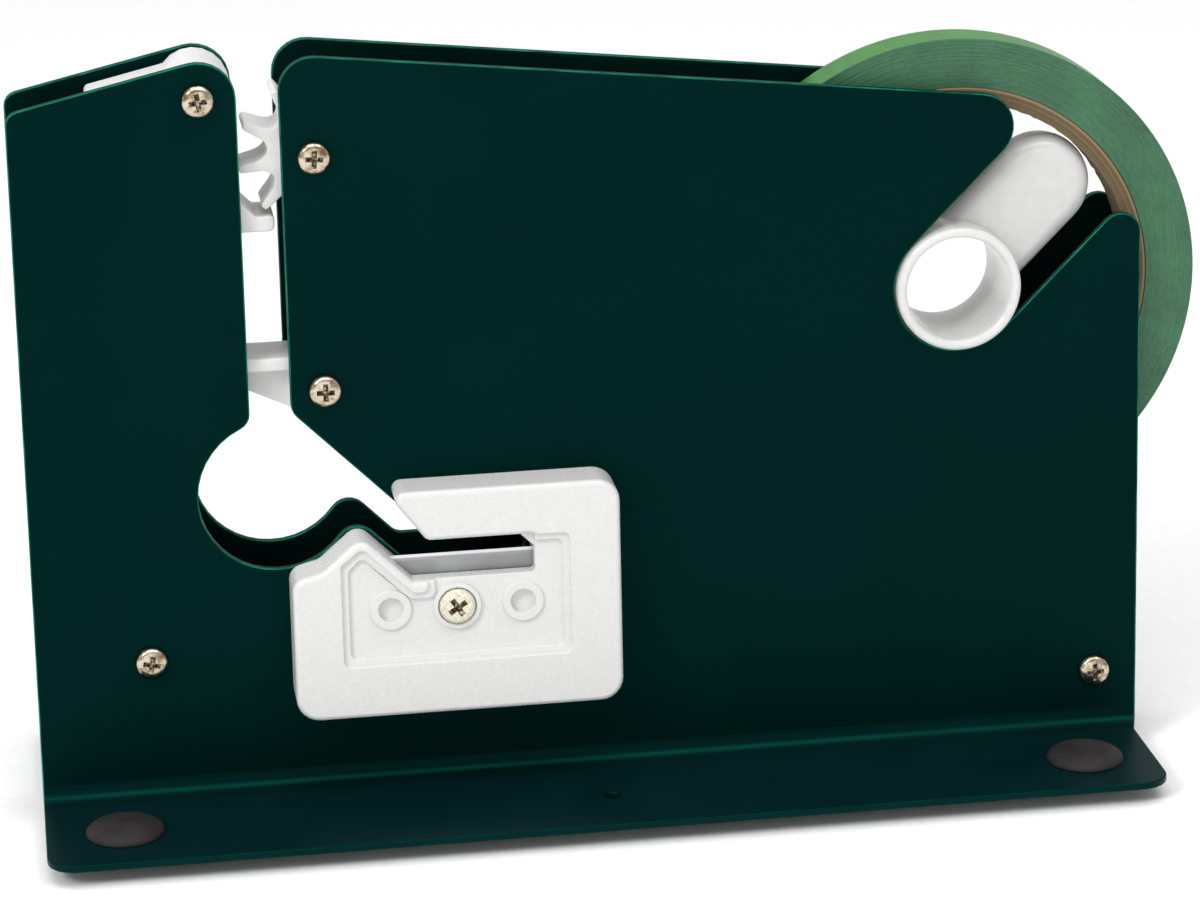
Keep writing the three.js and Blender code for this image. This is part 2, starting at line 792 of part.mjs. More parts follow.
function coilGap(points) {
  let least = Infinity;
  for (let i = 0; i < points.length; i++) {
    for (let k = i + springSteps / 2 + 1; k < points.length; k++) {
      least = Math.min(least, points[i].distanceTo(points[k]));
    }
  }
  return least - springWire;
}

[
  ['press_spring', pressPivotX, pressPivotHeight],
  ['gate_spring', gateAxleX, gateAxleHeight],
].forEach(([name, x, z]) => {
  const path = torsionSpringPath(x, z);
  console.log(`${name}: least gap between turns ${coilGap(path).toFixed(2)} mm`);
  addPiece(name, wire(path, springWire / 2, springSides), springSteel);
});

// Tape hub and roll

function tapeHub() {
  const front = -hubOverhang;
  const rear = backFace + hubOverhang;
  const inner = hubTubeRadius - hubWall;
  const lip = hubLipRadius;
  const ease = lip * (1 - Math.SQRT1_2);
  const tube = turned([
    [inner, front + lip / 2], [inner + lip / 2, front], [hubTubeRadius - lip, front],
    [hubTubeRadius - ease, front + ease], [hubTubeRadius, front + lip],
    [hubTubeRadius, rear - lip], [hubTubeRadius - ease, rear - ease], [hubTubeRadius - lip, rear],
    [inner + lip / 2, rear], [inner, rear - lip / 2], [inner, front + lip / 2],
  ], hubX, hubHeight, 2 * roundSides);
  const half = hubArmWidth / 2;
  const reach = hubArmReach;
  const arm = roundedOutline(boxCorners(-reach, reach, -half, half, half * endRoundingShare));
  const turn = new THREE.Vector2(0, 0);
  const placed = arm.map((p) => p.clone().rotateAround(turn, rad(hubSlotAngle))
    .add(new THREE.Vector2(hubX, hubHeight)));
  return softWall(placed, midY - tapeWidth / 2, midY + tapeWidth / 2, hubArmEdge)
    .add(tube)
    .subtract(rod(hubX, hubHeight, inner, front - cutOverrun, rear + cutOverrun, 2 * roundSides));
}

addPiece('tape_hub', tapeHub(), whitePlastic);

function ring(inner, outer) {
  const low = midY - tapeWidth / 2;
  const high = midY + tapeWidth / 2;
  return turned([[inner, low], [outer, low], [outer, high], [inner, high], [inner, low]],
    hubX, hubHeight, rollSides);
}

addPiece('tape_core', ring(coreBore / 2, coreBore / 2 + coreWall), kraft);
addPiece('tape_winding', ring(coreBore / 2 + coreWall + clearance, rollRadius), greenTape);

// Trimmer

function trimmerOutline() {
  const right = trimmerLeft + trimmerWidth;
  const top = trimmerTop;
  const armUnder = top - trimmerArmHeight;
  const sill = trimmerSill;
  const sillX = trimmerLeft + trimmerSillInset;
  const peakX = trimmerLeft + trimmerPeakInset;
  const rise = Math.tan(rad(chuteAngle));
  const noseX = trimmerLeft + trimmerNoseInset;
  return roundedOutline([
    [trimmerLeft, trimmerBottom, trimmerCornerRadius],
    [right, trimmerBottom, trimmerCornerRadius],
    [right, top, trimmerCornerRadius],
    [noseX, top, trimmerNoseRadius],
    [noseX + trimmerNoseRun, armUnder, trimmerArmRadius],
    [windowRightEnd, armUnder, windowRadius],
    [windowRightEnd, sill, windowRadius],
    [sillX, sill, windowRadius],
    [peakX, sill + (sillX - peakX) * rise, trimmerPeakRadius],
    [trimmerLeft + trimmerShoulderInset, sill + trimmerShoulderRise, trimmerShoulderRadius],
    [trimmerLeft, sill + trimmerSideRise, trimmerPeakRadius],
  ]);
}

// The recess on the housing's face. It stays inside the outline by the rim's width, ends its
// strip along the window's slant in a short nose, and drops over the sill beside it.
function panelOutline(inset) {
  const left = trimmerLeft + panelLeft + inset;
  const right = trimmerLeft + trimmerWidth - panelRight - inset;
  const bottom = trimmerBottom + panelBottom + inset;
  const top = trimmerTop - trimmerArmHeight - inset;
  const over = trimmerSill + cutOverrun;
  const noseEnd = trimmerLeft + trimmerSillInset + stripEndRun + inset;
  const noseFloor = trimmerSill - stripEndDrop - inset;
  const peakX = trimmerLeft + trimmerPeakInset;
  const slantX = (z) => trimmerLeft + trimmerSillInset
    - ((z - trimmerSill) * Math.cos(rad(chuteAngle)) + panelRim + inset) / Math.sin(rad(chuteAngle));
  const slantZ = (x) => trimmerSill
    - ((x - trimmerLeft - trimmerSillInset) * Math.sin(rad(chuteAngle)) + panelRim + inset)
    / Math.cos(rad(chuteAngle));
  return roundedOutline([
    [left, bottom, panelRadius],
    [right, bottom, panelRadius],
    [right, top, panelRadius],
    [windowRightEnd - cutOverrun, top],
    [windowRightEnd - cutOverrun, over],
    [noseEnd, over],
    [noseEnd, noseFloor, panelRadius],
    [slantX(noseFloor), noseFloor, panelRadius],
    [peakX, slantZ(peakX), panelRadius],
    [left, trimmerSill + panelShoulderRise - inset, panelRadius],
  ]);
}

// A web across the window's upper right corner, set back from the housing's face.
function windowWeb(face) {
  const under = trimmerTop - trimmerArmHeight;
  return wall([
    new THREE.Vector2(windowRightEnd - windowWebReach, under),
    new THREE.Vector2(windowRightEnd, under - windowWebReach),
    new THREE.Vector2(windowRightEnd + cutOverrun, under - windowWebReach),
    new THREE.Vector2(windowRightEnd + cutOverrun, under + cutOverrun),
    new THREE.Vector2(windowRightEnd - windowWebReach, under + cutOverrun),
  ], face + windowWebSetback, 0);
}

function trimmerHousing() {
  const face = -trimmerDepth;
  const floor = face + 2 * panelStep;
  const slitNear = -bladeSetback - bladeThickness - clearance;
  const slitFar = -bladeSetback + clearance;
  const bladeLeft = bladeStart();
  let body = softWall(trimmerOutline(), face, trimmerDepth, trimmerEdge)
    .intersect(block(trimmerLeft - cutOverrun, trimmerLeft + trimmerWidth + cutOverrun,
      face - cutOverrun, 0, trimmerBottom - cutOverrun, trimmerTop + cutOverrun))
    .subtract(wall(panelOutline(0), face - cutOverrun, face + panelStep))
    .subtract(wall(panelOutline(panelLedge), face - cutOverrun, floor))
    .add(windowWeb(face));
  body = body.add(rod(trimmerScrewX, trimmerScrewZ, screwBossRadius, floor - screwBossHeight, -cutOverrun));
  pegPlaces.forEach((x) => {
    body = body
      .add(rod(x, trimmerScrewZ, pegRingRadius, floor - pegRingHeight, -cutOverrun))
      .add(rod(x, trimmerScrewZ, pegRadius, -cutOverrun, pegReach, screwSides))
      .subtract(rod(x, trimmerScrewZ, pegRingBore, face - cutOverrun, floor + pegPitDepth));
  });
  return body
    .subtract(block(bladeLeft - clearance, bladeLeft + bladeLength + clearance, slitNear, slitFar,
      bladeTop - bladeHeight - clearance, bladeTop + clearance))
    .subtract(rod(trimmerScrewX, trimmerScrewZ, trimmerShankRadius + clearance,
      face - cutOverrun, cutOverrun))
    .subtract(rod(trimmerScrewX, trimmerScrewZ, trimmerHeadRadius + clearance,
      face - cutOverrun, floor - screwBossHeight + trimmerHeadSunk));
}

// The blade is centred on its screw.
function bladeStart() {
  return trimmerScrewX - bladeLength / 2;
}

function trimmerBlade() {
  const back = -bladeSetback;
  const near = back - bladeThickness;
  const section = [
    new THREE.Vector2(near, bladeTop - bladeHeight),
    new THREE.Vector2(back, bladeTop - bladeHeight),
    new THREE.Vector2(back, bladeTop),
    new THREE.Vector2(back - bladeEdgeThickness, bladeTop),
    new THREE.Vector2(near, bladeTop - bladeBevel),
  ];
  const start = bladeStart();
  return bar(section, start, start + bladeLength)
    .subtract(rod(trimmerScrewX, trimmerScrewZ, trimmerShankRadius + clearance, -trimmerDepth, 0));
}

addPiece('trimmer_housing', trimmerHousing(), whitePlastic);
addPiece('trimmer_blade', trimmerBlade(), steel);

const trimmerHeadSeat = -trimmerDepth + 2 * panelStep - screwBossHeight + trimmerHeadSunk;
addPiece('trimmer_screw', panScrew(trimmerScrewX, trimmerScrewZ, trimmerHeadSeat, 1, {
  head: trimmerHeadRadius,
  height: trimmerHeadHeight,
  shank: trimmerShankRadius,
  reach: sheet + nutHeight - trimmerHeadSeat + cutOverrun,
}), zinc);

function trimmerNut() {
  const radius = nutAcrossFlats / 2 / Math.cos(Math.PI / nutSides);
  return rod(trimmerScrewX, trimmerScrewZ, radius, sheet, sheet + nutHeight, nutSides)
    .subtract(rod(trimmerScrewX, trimmerScrewZ, trimmerShankRadius + clearance, 0, backFace));
}

addPiece('trimmer_nut', trimmerNut(), zinc);

// Rubber feet, pushed through the flanges: a domed head above, a round pad below

function foot(x, y) {
  const head = footCrownShares
    .map(([radiusShare, heightShare]) => [footHeadRadius * radiusShare, footHeadHeight * heightShare]);
  const under = -sheet - sheetClearance;
  const ground = -sheet - footPadHeight;
  const profile = [
    ...head,
    [footHeadRadius, sheetClearance],
    [footStemRadius, sheetClearance],
    [footStemRadius, under],
    [footPadRadius, under],
    [footPadRadius, ground + footPadEdge],
    [footPadRadius - footPadEdge, ground],
    [0, ground],
  ];
  const geometry = new THREE.LatheGeometry(profile.map(([r, z]) => new THREE.Vector2(r, z)), roundSides);
  geometry.rotateX(Math.PI / 2);
  geometry.translate(x, y, 0);
  return solid(geometry);
}

addPiece('foot_front_left', foot(footInset, -footSetback), rubber);
addPiece('foot_front_right', foot(plateLength - footInset, -footSetback), rubber);
addPiece('foot_rear_left', foot(footInset, backFace + footSetback), rubber);
addPiece('foot_rear_right', foot(plateLength - footInset, backFace + footSetback), rubber);

// The origin is under the middle of the whole object, on the surface that it stands on.
const extent = new THREE.Box3().setFromObject(sealer);
const middle = extent.getCenter(new THREE.Vector3());
sealer.position.set(-middle.x, -middle.y, -extent.min.z);

export default sealer;
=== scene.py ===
import math

import bmesh
import bpy
from bpy.props import FloatProperty, FloatVectorProperty, IntProperty, PointerProperty
from mathutils import Matrix, Vector


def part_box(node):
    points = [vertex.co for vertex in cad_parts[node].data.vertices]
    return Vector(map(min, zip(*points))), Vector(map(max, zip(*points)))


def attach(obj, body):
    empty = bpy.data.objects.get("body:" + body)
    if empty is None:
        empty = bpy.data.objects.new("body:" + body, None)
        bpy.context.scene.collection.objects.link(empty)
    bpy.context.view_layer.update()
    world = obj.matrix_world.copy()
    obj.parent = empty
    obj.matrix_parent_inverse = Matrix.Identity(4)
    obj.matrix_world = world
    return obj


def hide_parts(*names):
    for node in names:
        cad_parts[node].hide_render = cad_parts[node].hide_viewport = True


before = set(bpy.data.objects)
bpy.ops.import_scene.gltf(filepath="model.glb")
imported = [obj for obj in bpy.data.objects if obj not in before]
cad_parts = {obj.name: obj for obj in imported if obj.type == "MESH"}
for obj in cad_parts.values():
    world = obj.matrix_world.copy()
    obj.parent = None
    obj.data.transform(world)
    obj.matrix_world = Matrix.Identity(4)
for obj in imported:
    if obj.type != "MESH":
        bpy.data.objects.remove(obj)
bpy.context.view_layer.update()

bl_info = {
    "name": "Bag neck sealer",
    "version": (1, 0, 0),
    "blender": (4, 5, 0),
    "location": "View3D > Sidebar > Bag Sealer",
    "description": "Builds the visible pieces of a countertop bag neck sealer around its CAD frame",
    "category": "Object",
}

MM = 0.001
ALONG_Y = Vector((0, 1, 0))
ALONG_Z = Vector((0, 0, 1))
SHEET = 1.5 * MM
FLANGE_TOP = 5 * MM
MERGE = 0.002 * MM
POSTS = ("press_axle", "star_axle", "gate_axle", "lower_left_spacer", "lower_right_spacer")
FEET = ("foot_front_left", "foot_front_right", "foot_rear_left", "foot_rear_right")


# Sizes and colours


def linear(hex_code):
    """An sRGB hex colour as the linear values that a shader takes."""
    shares = [int(hex_code[i:i + 2], 16) / 255 for i in (0, 2, 4)]
    return tuple(c / 12.92 if c <= 0.04045 else ((c + 0.055) / 1.055) ** 2.4 for c in shares)


def length(name, description, default_mm):
    """A length that the panel shows, given in millimetres."""
    return FloatProperty(
        name=name, description=description, default=default_mm * MM, min=0, unit="LENGTH",
        precision=5)


def colour(name, description, hex_code):
    """A colour that the panel shows, given as sRGB hex."""
    return FloatVectorProperty(
        name=name, description=description, default=linear(hex_code), min=0, max=1, size=3,
        subtype="COLOR")


class SealerSizes(bpy.types.PropertyGroup):
    """Sizes of the pieces that Blender shapes."""

    plate_edge: length("Plate edge", "Rounding of the enamelled plates' cut edges", 0.28)
    lever_edge: length("Lever edge", "Rounding of the moulded levers' edges", 0.42)
    cutter_edge: length("Cutter edge", "Rounding of the tape cutter's edges", 0.08)
    housing_edge: length("Housing edge", "Rounding of the steps in the trimmer housing", 0.18)
    screw_head: length("Screw head", "Radius of a pan head on the plates", 3.4)
    screw_crown: length("Screw crown", "Height of a pan head on the plates", 2.2)
    screw_shank: length("Screw shank", "Radius of a plate screw's shank", 1.75)
    post_hole: length("Post hole", "Radius of the screw hole in a post's end", 2.05)
    post_depth: length("Post depth", "Depth of the screw hole in a post's end", 7)
    star_tip: length("Star tip", "Radius over the star wheel's teeth", 15)
    star_root: length("Star root", "Radius of the gullets between the star wheel's teeth", 9)
    star_boss: length("Star boss", "Radius of the star wheel's boss", 6.2)
    star_bore: length("Star bore", "Radius of the star wheel's axle hole", 3.5)
    star_width: length("Star width", "Width of the star wheel's teeth", 11)
    star_teeth: IntProperty(name="Star teeth", description="Number of teeth", default=10, min=3)
    star_phase: FloatProperty(
        name="Star phase", description="Turn of the first tooth from the X axis",
        default=math.radians(12.4), unit="ROTATION")
    hub_tube: length("Hub tube", "Radius of the tape hub's tube", 13.1)
    hub_wall: length("Hub wall", "Thickness of the tube's wall", 2.1)
    hub_lip: length("Hub lip", "Rounding of the tube's ends", 1.0)
    hub_arm: length("Hub arm", "Width of the hub's two arms", 21)
    hub_reach: length("Hub reach", "Reach of an arm from the hub's centre", 37.8)
    hub_arm_edge: length("Hub arm edge", "Rounding of the arms' edges", 3.8)
    core_bore: length("Core bore", "Radius inside the card core", 38.1)
    core_wall: length("Core wall", "Thickness of the card core", 3.3)
    spring_coil: length("Spring coil", "Radius of the springs' coils to the wire's centre", 4.15)
    spring_wire: length("Spring wire", "Thickness of the springs' wire", 0.8)
    spring_pitch: length("Spring pitch", "Distance from turn to turn", 1.35)
    spring_leg: length("Spring leg", "Length of wire drawn out at each end", 2)
    spring_turns: IntProperty(name="Spring turns", description="Turns of wire", default=4, min=1)
    trimmer_crown: length("Trimmer crown", "Height of the trimmer screw's head", 2)
    trimmer_shank: length("Trimmer shank", "Radius of the trimmer screw's shank", 2)
    nut_edge: length("Nut edge", "Rounding of the trimmer nut's corners", 0.25)
    foot_stem: length("Foot stem", "Radius of a foot's neck in the flange", 4.4)
    foot_pad: length("Foot pad", "Radius of a foot's pad under the flange", 7.5)
    foot_pad_height: length("Foot pad height", "Height of a foot's pad", 3.35)


class SealerFinishes(bpy.types.PropertyGroup):
    """Colours of the finishes."""

    enamel: colour("Enamel", "Baked enamel on the plates", "011815")
    # Enamel edge is a painted highlight on the plates' cut edges.
    enamel_edge_highlight: colour("Enamel edge", "Thin enamel over cut edges", "0C7A5E")
    # The flanges' colour is a painted bluish sheen, from the light they catch from above.
    dust_and_sheen: colour("Dust", "Dust that settles on the flanges", "1F4F62")
    nickel: colour("Nickel", "Plated screw heads", "CABFAB")
    tarnish: colour("Tarnish", "Brown film on the plated screw heads", "9A8160")
    # Recess shade tone is painted shade in the screws' recesses.
    recess_shade_tone: colour("Grime", "Oil and dust in the screws' recesses", "4A381C")
    zinc: colour("Zinc", "Yellow passivated zinc", "E2DFCA")
    steel: colour("Steel", "Bright turned steel", "B4B6B8")
    blade: colour("Blade", "Hardened blade steel", "A2A3A4")
    plastic: colour("Plastic", "White moulded plastic", "D9D9D8")
    kraft: colour("Kraft", "Card of the tape core", "6B5B44")
    tape: colour("Tape", "Side of the wound tape", "326445")
    film: colour("Film", "Tape's own surface on the rim", "3C8A36")
    rubber: colour("Rubber", "Black rubber feet", "201D1E")


# Materials


def add_node(tree, kind, values=(), links=(), **settings):
    """Adds a shader node with its settings, its sockets' values and its links."""
    made = tree.nodes.new("ShaderNode" + kind)
    for setting, value in settings.items():
        setattr(made, setting, value)
    for socket, value in dict(values).items():
        made.inputs[socket].default_value = value
    for socket, output in dict(links).items():
        tree.links.new(output, made.inputs[socket])
    return made


def per(size_mm):
    """The scale that gives a pattern of that size on coordinates in metres."""
    return 1 / (size_mm * MM)


def scaled(rgb, share):
    """A colour made darker or lighter by a share."""
    return tuple(min(c * share, 1) for c in rgb)


def coat(
        tree, shader, tones, levels=(0.3, 0.7), roughness=None, relief=None, over=(), values=()):
    """Gives a shader its colour, roughness and relief from patterns, and its other values.

    tones: a pattern, its dark and its light colour
    levels: where between 0 and 1 the pattern reaches these two
    roughness: a pattern, and the roughness at 0 and at 1
    relief: a pattern, its depth in millimetres, and its strength
    over: masks, each with the colour that covers the rest
    """
    pattern, *ends = tones
    ramp = add_node(tree, "ValToRGB", links={"Fac": pattern})
    for i, (level, rgb) in enumerate(zip(levels, ends)):
        ramp.color_ramp.elements[i].position = level
        ramp.color_ramp.elements[i].color = (*rgb, 1)
    shown = ramp.outputs["Color"]
    for mask, rgb in over:
        mix = add_node(tree, "Mix", {7: (*rgb, 1)}, {0: mask, 6: shown}, data_type="RGBA")
        shown = mix.outputs[2]
    tree.links.new(shown, shader.inputs["Base Color"])
    if roughness:
        pattern, smooth, dull = roughness
        sheen = add_node(tree, "MapRange", {"To Min": smooth, "To Max": dull}, {"Value": pattern})
        tree.links.new(sheen.outputs["Result"], shader.inputs["Roughness"])
    if relief:
        pattern, depth_mm, strength = relief
        bump = add_node(
            tree, "Bump", {"Distance": depth_mm * MM, "Strength": strength}, {"Height": pattern})
        tree.links.new(bump.outputs["Normal"], shader.inputs["Normal"])
    for socket, value in dict(values).items():
        shader.inputs[socket].default_value = value


def average(tree, *patterns):
    """The mean of some patterns."""
    total = patterns[0]
    for pattern in patterns[1:]:
        total = add_node(tree, "Math", {}, {0: total, 1: pattern}, operation="ADD").outputs[0]
    mean = add_node(tree, "Math", {1: 1 / len(patterns)}, {0: total}, operation="MULTIPLY")
    return mean.outputs["Value"]


def from_axis(tree, place, node):
    """The way to a place from the axis of a round piece along Y, and its length."""
    centred = add_node(tree, "Mapping", {"Location": -middle_of(node)}, {"Vector": place})
    way = add_node(
        tree, "VectorMath", {1: (1, 0, 1)}, {0: centred.outputs["Vector"]}, operation="MULTIPLY")
    reach = add_node(tree, "VectorMath", links={0: way.outputs["Vector"]}, operation="LENGTH")
    return way.outputs["Vector"], reach.outputs["Value"]


def satin_enamel(tree, place, colours):
    """Baked satin enamel on steel sheet: deep, with a soft sheen, a faint orange peel, a painted
    highlight along each bend and a painted bluish sheen on the flanges.
    """
    cloud, fleck, peel, sheen_patches = (
        add_node(tree, "TexNoise", {"Scale": per(size), "Detail": detail}, {"Vector": place})
        for size, detail in ((45, 3), (0.7, 2), (1.3, 1), (16, 5)))
    flecks = add_node(
        tree, "MapRange", {"From Min": 0.58, "From Max": 0.75, "To Max": 0.4},
        {"Value": fleck.outputs["Fac"]})
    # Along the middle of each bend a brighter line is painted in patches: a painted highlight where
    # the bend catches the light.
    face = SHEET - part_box("front_side_plate")[1].y
    parts = add_node(tree, "SeparateXYZ", links={"Vector": place})
    outwards = add_node(tree, "Math", {}, {0: parts.outputs["Y"]}, operation="ABSOLUTE")
    slant = add_node(
        tree, "Math", {}, {0: outwards.outputs["Value"], 1: parts.outputs["Z"]},
        operation="SUBTRACT")
    from_bend = add_node(
        tree, "Math", {1: face - FLANGE_TOP}, {0: slant.outputs["Value"]}, operation="SUBTRACT")
    away = add_node(tree, "Math", {}, {0: from_bend.outputs["Value"]}, operation="ABSOLUTE")
    share = add_node(
        tree, "MapRange", {"To Min": 0.1, "To Max": 1}, {"Value": sheen_patches.outputs["Fac"]})
    bend_highlight = add_node(
        tree, "MapRange", {"From Min": 0.05 * MM, "From Max": 1.1 * MM, "To Max": 0},
        {"Value": away.outputs["Value"], "To Min": share.outputs["Result"]},
        interpolation_type="SMOOTHSTEP")
    # A painted bluish sheen covers the flanges, which lie flat, in patches, and not the upright
    # plates.
    flange_mask = add_node(
        tree, "MapRange", {"From Min": face + 2 * MM, "From Max": face + 5 * MM},
        {"Value": outwards.outputs["Value"]})
    patchy = add_node(
        tree, "MapRange", {"To Min": 0.03, "To Max": 0.11}, {"Value": sheen_patches.outputs["Fac"]})
    painted_sheen = add_node(
        tree, "Math", {}, {0: flange_mask.outputs["Result"], 1: patchy.outputs["Result"]},
        operation="MULTIPLY")
    return dict(
        tones=(cloud.outputs["Fac"], scaled(colours.enamel, 0.72), colours.enamel),
        roughness=(cloud.outputs["Fac"], 0.34, 0.46),
        relief=(peel.outputs["Fac"], 0.02, 0.5),
        over=(
            (flecks.outputs["Result"], scaled(colours.enamel, 1.35)),
            # A painted highlight along the middle of each bend.
            (bend_highlight.outputs["Result"], scaled(colours.enamel_edge_highlight, 0.24)),
            # A painted bluish sheen on the flanges.
            (painted_sheen.outputs["Value"], colours.dust_and_sheen)),
        values={"IOR": 1.5, "Specular IOR Level": 0.12, "Specular Tint": (0.03, 0.76, 0.74, 1)})


def painted_edge_highlight(tree, place, colours):
    """Painted highlight on cut edges: a brighter, metallic green over the rounded edges."""
    thin = add_node(tree, "TexNoise", {"Scale": per(6), "Detail": 4}, {"Vector": place})
    # Low down, near the flanges, the painted edge highlight gives way to the plain enamel colour.
    height = add_node(tree, "SeparateXYZ", links={"Vector": place})
    plain_low_edges = add_node(
        tree, "MapRange",
        {"From Min": FLANGE_TOP, "From Max": FLANGE_TOP + 3 * MM, "To Min": 0.93, "To Max": 0},
        {"Value": height.outputs["Z"]})
    edge = colours.enamel_edge_highlight
    return dict(
        tones=(thin.outputs["Fac"], scaled(edge, 0.3), edge),
        levels=(0.35, 0.65),
        roughness=(thin.outputs["Fac"], 0.3, 0.42),
        relief=(thin.outputs["Fac"], 0.02, 0.4),
        over=((plain_low_edges.outputs["Result"], colours.enamel),),
        values={"Metallic": 0.7, "Specular Tint": (0.05, 0.7, 0.55, 1)})


def nickel_plate(tree, place, colours):
    """Nickel plated steel: bright, with a brown film in blotches and a tumbled, dented skin."""
    film = add_node(tree, "TexNoise", {"Scale": per(1.1), "Detail": 4}, {"Vector": place})
    dents = add_node(
        tree, "TexNoise", {"Scale": per(0.9), "Detail": 2, "Distortion": 0.6}, {"Vector": place})
    return dict(
        tones=(film.outputs["Fac"], colours.tarnish, colours.nickel),
        levels=(0.36, 0.54),
        roughness=(film.outputs["Fac"], 0.1, 0.22),
        relief=(dents.outputs["Fac"], 0.07, 0.5),
        values={"Metallic": 1})


def passivated_zinc(tree, place, colours):
    """Zinc plate with a pale yellow passivate: satin, and uneven in tint."""
    tint = add_node(tree, "TexNoise", {"Scale": per(0.5), "Detail": 4}, {"Vector": place})
    zinc = colours.zinc
    return dict(
        tones=(tint.outputs["Fac"], scaled(zinc, 0.78), scaled(zinc, 1.08)),
        levels=(0.38, 0.62),
        roughness=(tint.outputs["Fac"], 0.42, 0.58),
        relief=(tint.outputs["Fac"], 0.04, 0.5),
        values={"Metallic": 0.2})


def painted_recess_shade(tree, place, colours):
    """Painted shade in a screw's recess: dark and dull, mottled bright in spots with the plating.
    """
    mottle = add_node(tree, "TexNoise", {"Scale": per(0.6), "Detail": 3}, {"Vector": place})
    return dict(
        tones=(mottle.outputs["Fac"], colours.recess_shade_tone, colours.nickel),
        levels=(0.45, 0.63),
        roughness=(mottle.outputs["Fac"], 0.6, 0.25),
        relief=(mottle.outputs["Fac"], 0.1, 0.8),
        values={"Metallic": 0.6})


def turned_steel(tree, place, colours):
    """Bright steel bar from the lathe, with tool marks round it."""
    # A real feed mark is about 0.1 mm wide. It is drawn at 0.4 mm so that it shows.
    rings = add_node(
        tree, "TexWave", {"Scale": per(0.4) / math.tau, "Distortion": 0.6, "Detail": 2},
        {"Vector": place}, bands_direction="Y")
    stain = add_node(tree, "TexNoise", {"Scale": per(5), "Detail": 4}, {"Vector": place})
    return dict(
        tones=(stain.outputs["Fac"], scaled(colours.steel, 0.75), colours.steel),
        roughness=(stain.outputs["Fac"], 0.22, 0.38),
        relief=(rings.outputs["Fac"], 0.02, 0.3),
        values={"Metallic": 1})


def spring_wire(tree, place, colours):
    """Drawn spring wire: grey, with a thin film of oil."""
    streak = add_node(tree, "TexNoise", {"Scale": per(0.9), "Detail": 4}, {"Vector": place})
    steel = colours.steel
    return dict(
        tones=(streak.outputs["Fac"], scaled(steel, 0.45), scaled(steel, 0.8)),
        roughness=(streak.outputs["Fac"], 0.25, 0.4),
        relief=(streak.outputs["Fac"], 0.02, 0.3),
        values={"Metallic": 1})


def hardened_steel(tree, place, colours):
    """Hardened strip steel with fine polishing lines along its length."""
    along = add_node(tree, "Mapping", {"Scale": (0.03, 1, 1)}, {"Vector": place})
    lines = add_node(
        tree, "TexNoise", {"Scale": per(0.3), "Detail": 3}, {"Vector": along.outputs["Vector"]})
    sheen = add_node(tree, "TexNoise", {"Scale": per(9), "Detail": 2}, {"Vector": place})
    return dict(
        tones=(sheen.outputs["Fac"], scaled(colours.blade, 0.72), colours.blade),
        roughness=(lines.outputs["Fac"], 0.3, 0.48),
        relief=(lines.outputs["Fac"], 0.01, 0.2),
        values={"Metallic": 0.65})


def ground_edge(tree, place, colours):
    """The blade's bevel, ground like its side, with a painted highlight along the honed edge."""
    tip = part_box("trimmer_blade")[1].z
    height = add_node(tree, "SeparateXYZ", links={"Vector": place})
    # A painted highlight: a strip along the edge, much brighter than the blade.
    honed_highlight = add_node(
        tree, "MapRange", {"From Min": tip - 0.75 * MM, "From Max": tip - 0.5 * MM},
        {"Value": height.outputs["Z"]})
    across = add_node(tree, "Mapping", {"Scale": (1, 0.05, 0.05)}, {"Vector": place})
    lines = add_node(
        tree, "TexNoise", {"Scale": per(0.22), "Detail": 2}, {"Vector": across.outputs["Vector"]})
    return dict(
        tones=(lines.outputs["Fac"], scaled(colours.blade, 0.86), colours.blade),
        roughness=(lines.outputs["Fac"], 0.32, 0.44),
        relief=(lines.outputs["Fac"], 0.01, 0.2),
        over=((honed_highlight.outputs["Result"], scaled(colours.blade, 2.1)),),
        values={"Metallic": 0.65})


def smooth_plastic(tree, place, colours):
    """White acetal from a polished mould: waxy, with faint flow marks."""
    flow = add_node(
        tree, "TexNoise", {"Scale": per(7), "Detail": 3, "Distortion": 1.2}, {"Vector": place})
    skin = add_node(tree, "TexNoise", {"Scale": per(0.5), "Detail": 2}, {"Vector": place})
    return dict(
        tones=(flow.outputs["Fac"], colours.plastic, scaled(colours.plastic, 1.12)),
        roughness=(flow.outputs["Fac"], 0.3, 0.42),
        relief=(skin.outputs["Fac"], 0.012, 0.4),
        values={
            "IOR": 1.48, "Subsurface Weight": 0.5, "Subsurface Scale": 3 * MM,
            "Subsurface Radius": (1, 0.95, 0.9)})


def glossy_plastic(tree, place, colours):
    """White ABS from a polished mould: glossy, with soft sink marks."""
    sink = add_node(tree, "TexNoise", {"Scale": per(11), "Detail": 1}, {"Vector": place})
    dust_and_sheen = add_node(tree, "TexNoise", {"Scale": per(2.4), "Detail": 3}, {"Vector": place})
    white = colours.plastic
    return dict(
        tones=(dust_and_sheen.outputs["Fac"], scaled(white, 0.88), scaled(white, 0.94)),
        roughness=(dust_and_sheen.outputs["Fac"], 0.12, 0.22),
        relief=(sink.outputs["Fac"], 0.15, 0.5),
        values={
            "IOR": 1.53, "Subsurface Weight": 0.8, "Subsurface Scale": 5 * MM,
            "Subsurface Radius": (1, 0.95, 0.9)})


def grained_plastic(tree, place, colours):
    """White ABS from a spark-eroded mould: an even fine grain that scatters the light."""
    grain = add_node(tree, "TexNoise", {"Scale": per(0.42), "Detail": 3}, {"Vector": place})
    tint = add_node(tree, "TexNoise", {"Scale": per(1.3), "Detail": 4}, {"Vector": place})
    return dict(
        tones=(tint.outputs["Fac"], scaled(colours.plastic, 0.95), colours.plastic),
        roughness=(grain.outputs["Fac"], 0.2, 0.36),
        relief=(grain.outputs["Fac"], 0.09, 0.7),
        values={"IOR": 1.53})


